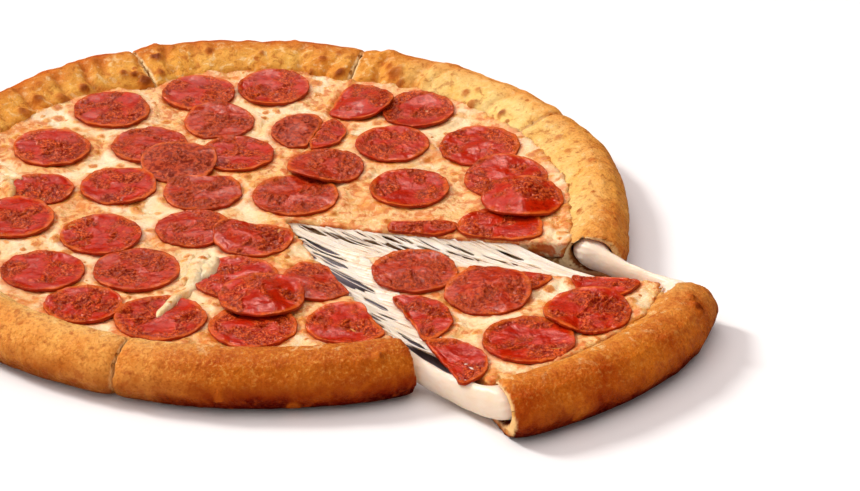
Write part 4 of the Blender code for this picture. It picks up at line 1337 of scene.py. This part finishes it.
def web(name, cut_end, inset, holes, seed, heavy):
    """One side of the web, as a closed mesh. Heavy is how much cheese hangs on the slice's side."""
    run = cut_end - GAP_POINT
    length = run.length - inset
    way = run.normalized()
    columns = round(length / WEB_STEP_ALONG)
    rows = round(PULL.length / WEB_STEP_ACROSS)
    shape = bmesh.new()
    weights = shape.verts.layers.float.new("melted")
    margins, grid = {}, []
    for column in range(columns + 1):
        along = length * column / columns
        start = GAP_POINT + way * along
        line = []
        for row in range(rows + 1):
            share = row / rows
            belly = 4 * share * (1 - share)
            place = start + PULL * (share * (1 + 2 * WEB_OVERLAP) - WEB_OVERLAP)
            strands = noise.noise(Vector((along / (2.4 * MM), share * 1.2, seed + 2)))
            strands += 0.6 * noise.noise(Vector((along / (7 * MM), share * 2, seed + 7)))
            whole = min(max((share - 0.6) / 0.3, 0), 1)
            place.z = cheese_level(start) - WEB_DEPTH - WEB_SAG * belly
            place.z += strands * STRAND_HEIGHT + heavy * whole * MELTED_RISE
            vertex = shape.verts.new(place)
            vertex[weights] = whole * heavy
            margins[vertex] = margin_of(along, share, holes, seed)
            line.append(vertex)
        grid.append(line)
    for column in range(columns):
        for row in range(rows):
            a, b = grid[column], grid[column + 1]
            cell = (a[row], a[row + 1], b[row + 1], b[row])
            if sum(margins[v] for v in cell) > 0:
                shape.faces.new(cell)
    bmesh.ops.delete(shape, geom=[v for v in shape.verts if not v.link_faces], context="VERTS")
    edge = [v for v in shape.verts if v.is_boundary]
    axes = {"use_axis_x": True, "use_axis_y": True, "use_axis_z": True}
    for _ in range(EDGE_SMOOTHINGS):
        bmesh.ops.smooth_vert(shape, verts=edge, factor=0.5, **axes)
    bmesh.ops.recalc_face_normals(shape, faces=shape.faces)
    shape.verts.index_update()
    border = {v.index for v in edge}
    mesh = bpy.data.meshes.new(name)
    shape.to_mesh(mesh)
    thick = [THINNEST + (1 - THINNEST) * v[weights] for v in shape.verts]
    shape.free()
    piece = new_piece(name, mesh)
    body = piece.vertex_groups.new(name="body")
    for index, amount in enumerate(thick):
        body.add([index], amount * (AT_HOLES if index in border else 1.0), "REPLACE")
    wall = piece.modifiers.new("wall", "SOLIDIFY")
    wall.thickness = WEB_THICKNESS
    wall.offset = 0
    wall.vertex_group = "body"
    smooth = piece.modifiers.new("smooth", "SMOOTH")
    smooth.iterations = 2
    settle(piece)
    piece.data.materials.append(FINISHES["melted_cheese"])
    piece.data.shade_smooth()
    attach(piece, "root")
    return piece


left_web = web("left_web", LEFT_CUT_END, CRUST_INSET, LEFT_HOLES, 3.7, 1.0)
right_web = web("right_web", RIGHT_CUT_END, CRUST_INSET + 9 * MM, RIGHT_HOLES, 8.1, 0.55)
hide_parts("cheese_strands")
print("faces of the web:", len(left_web.data.polygons), len(right_web.data.polygons))

# %% [markdown]
# Threads follow a path, which suits geometry nodes: the tree turns a line of points into a tube, whose
# girth is a number that each point carries, and roughens it a little. Two pieces are made with it: fine
# threads that cross the web, and thick laps of melted cheese that have run over some rounds of sausage.

# %% Thread tree


def thread_group():
    group, given, result = geometry_group("drawn_thread", {"Lump Size": 0.008, "Lump Height": 0.0003})
    line = wire(group, "GeometryNodeMeshToCurve", {"Mesh": given["Geometry"]})
    ring = wire(group, "GeometryNodeCurvePrimitiveCircle", {"Resolution": 12, "Radius": 1.0})
    inputs = {"Curve": line, "Profile Curve": ring, "Scale": named(group, "girth"), "Fill Caps": True}
    tube = wire(group, "GeometryNodeCurveToMesh", inputs)
    lumps = noise_of(wire(group, "GeometryNodeInputPosition"), given["Lump Size"], 3.0) - 0.5
    return close_tree(group, given, result, push_out(tube, lumps * given["Lump Height"]))


THREAD_TREE = thread_group()


def lines_mesh(name, lines):
    """A mesh of loose lines. Each line is a list of places with a girth."""
    points, edges, girths = [], [], []
    for line in lines:
        start = len(points)
        points += [place for place, girth in line]
        girths += [girth for place, girth in line]
        edges += [(start + i, start + i + 1) for i in range(len(line) - 1)]
    mesh = bpy.data.meshes.new(name)
    mesh.from_pydata(points, edges, [])
    carry(mesh, "girth", girths)
    return mesh


def thread_piece(name, lines, finish_name, slot, **values):
    piece = new_piece(name, lines_mesh(name, lines))
    grow(piece, THREAD_TREE, FINISHES[finish_name], **values)
    shape = bmesh.new()
    shape.from_mesh(piece.data)
    bmesh.ops.recalc_face_normals(shape, faces=shape.faces)
    shape.to_mesh(piece.data)
    shape.free()
    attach(piece, "root")
    return piece


# %% [markdown]
# The fine threads run over the web from the torn edge to the slice. They are thick where they hold on and
# hair thin in the middle, and each one hangs a little.

# %% Threads
THREAD_POINTS = 18
THREAD_GIRTH = (0.2 * MM, 0.8 * MM)
THREAD_SAG = 2.6 * MM
THREAD_RISE = 0.4 * MM  # of its ends over the cheese


def thread_over(cut_end, along, first, last, girth, seed):
    """One thread over the web, from one share of the pull to another."""
    way = (cut_end - GAP_POINT).normalized()
    line = []
    for i in range(THREAD_POINTS):
        part = i / (THREAD_POINTS - 1)
        share = first + (last - first) * part
        drift = noise.noise(Vector((share * 2.2, seed, 0.5))) * 1.6 * MM
        start = GAP_POINT + way * (along + drift)
        place = start + PULL * share
        sag = THREAD_SAG * 4 * part * (1 - part)
        waver = noise.noise(Vector((seed, share * 3, 2.5))) * 0.6 * MM
        end = min(part, 1 - part) / 0.12
        dip = 1.6 * MM * max(1 - end, 0)
        place.z = cheese_level(start) + THREAD_RISE - sag + waver - dip
        hold = (2 * part - 1) ** 4
        line.append((place, girth * (0.5 + 0.9 * hold) * min(0.15 + end, 1)))
    return line


threads = []
for side, (cut_end, reach, count) in enumerate(((LEFT_CUT_END, 112, 13), (RIGHT_CUT_END, 104, 26))):
    for k in range(count):
        pick = [(math.sin(k * 7.13 + side * 3.7 + n * 19.19) * 9631.7) % 1.0 for n in range(4)]
        along = (3 + reach * (k + 0.7 * pick[0]) / count) * MM
        girth = between_ends(THREAD_GIRTH, pick[1] ** 2.5)
        first, last = -0.09 + 0.12 * pick[2], 0.62 + 0.4 * pick[3]
        threads.append(thread_over(cut_end, along, first, last, girth, k * 1.7 + side * 31))
finish_name = "melted_cheese"
threads_piece = thread_piece("threads_of_cheese", threads, finish_name, finish_name, lump_height=0.0002)
print("threads:", len(threads), "faces:", len(threads_piece.data.polygons))

# %% [markdown]
# In a few places cheese has run over the sausage in a soft ridge. Each lap is a short thick thread through
# places on the topping. It is laid on whatever is finished below it, and sinks into it by its girth.

# %% Laps of cheese
# Each lap: level places in mm with the girth in mm there.
LAPS = (
    ((-23, -51, 0.4), (-25, -57, 5.5), (-28, -66, 7.0), (-29, -75, 6.0), (-30, -82, 4.2),
     (-34, -91, 2.7), (-39, -101, 2.3), (-43, -111, 1.7), (-44.5, -114.5, 0.3)),
    ((-30, -52, 0.4), (-32, -58, 5.0), (-33, -66, 5.5), (-33, -75, 4.5), (-33, -82, 0.4)),
    ((-18, -57, 0.4), (-21, -63, 4.0), (-24, -71, 5.0), (-27, -80, 0.4)),
    ((-131, 38, 0.6), (-126, 34, 3.4), (-120, 28, 3.6), (-116, 23, 2.0), (-114, 20, 0.6)),
    ((-131, 31, 0.6), (-126, 27, 3.2), (-121, 21, 3.0), (-118, 15, 0.6)),
    ((-124, 26, 0.6), (-121, 19, 3.4), (-119, 11, 3.6), (-118, 4, 2.0), (-118, 1, 0.4)),
)
THINNEST_LAP = 0.4
THICK_LAP = 2.2  # mm of girth from which on a lap sinks in deeper
THIN_LAP_SUNK = 0.25  # the share of its girth by which a thin lap lies lower than what it rests on
THICK_LAP_SUNK = 0.62


def open_curve(corners, each):
    """A smooth open curve through corners, as numpy rows."""
    rows = [np.array(c, dtype=float) for c in corners]
    rows = [2 * rows[0] - rows[1]] + rows + [2 * rows[-1] - rows[-2]]
    curve = []
    for four in zip(rows, rows[1:], rows[2:], rows[3:]):
        curve += [on_curve(*four, j / each) for j in range(each)]
    return curve + [rows[-2]]


def lap_line(corners):
    """The middle line of one lap, laid on what is finished below it and sunk into it by its girth."""
    trees = [tree for tree, gap in cheese_trees] + list(finished.values())
    line, levels = [], []
    for x, y, girth in open_curve(corners, 6):
        tops = [top_at(tree, x * MM, y * MM) for tree in trees]
        levels.append(max(t for t in tops if t is not None))
        line.append([Vector((x * MM, y * MM, 0)), max(girth, THINNEST_LAP) * MM])
    for _ in range(6):
        evened = np.convolve(np.pad(levels, 2, mode="edge"), np.ones(5) / 5, mode="valid")
        levels = np.maximum(evened, levels)
    for (place, girth), level in zip(line, levels):
        sunk = min(THIN_LAP_SUNK + 0.2 * max(girth / MM - THICK_LAP, 0), THICK_LAP_SUNK)
        place.z = level - girth * sunk
    return line


laps = thread_piece("laps_of_cheese", [lap_line(lap) for lap in LAPS], "cheese", "cheese", lump_height=0.0016)
print("faces of the laps:", len(laps.data.polygons))
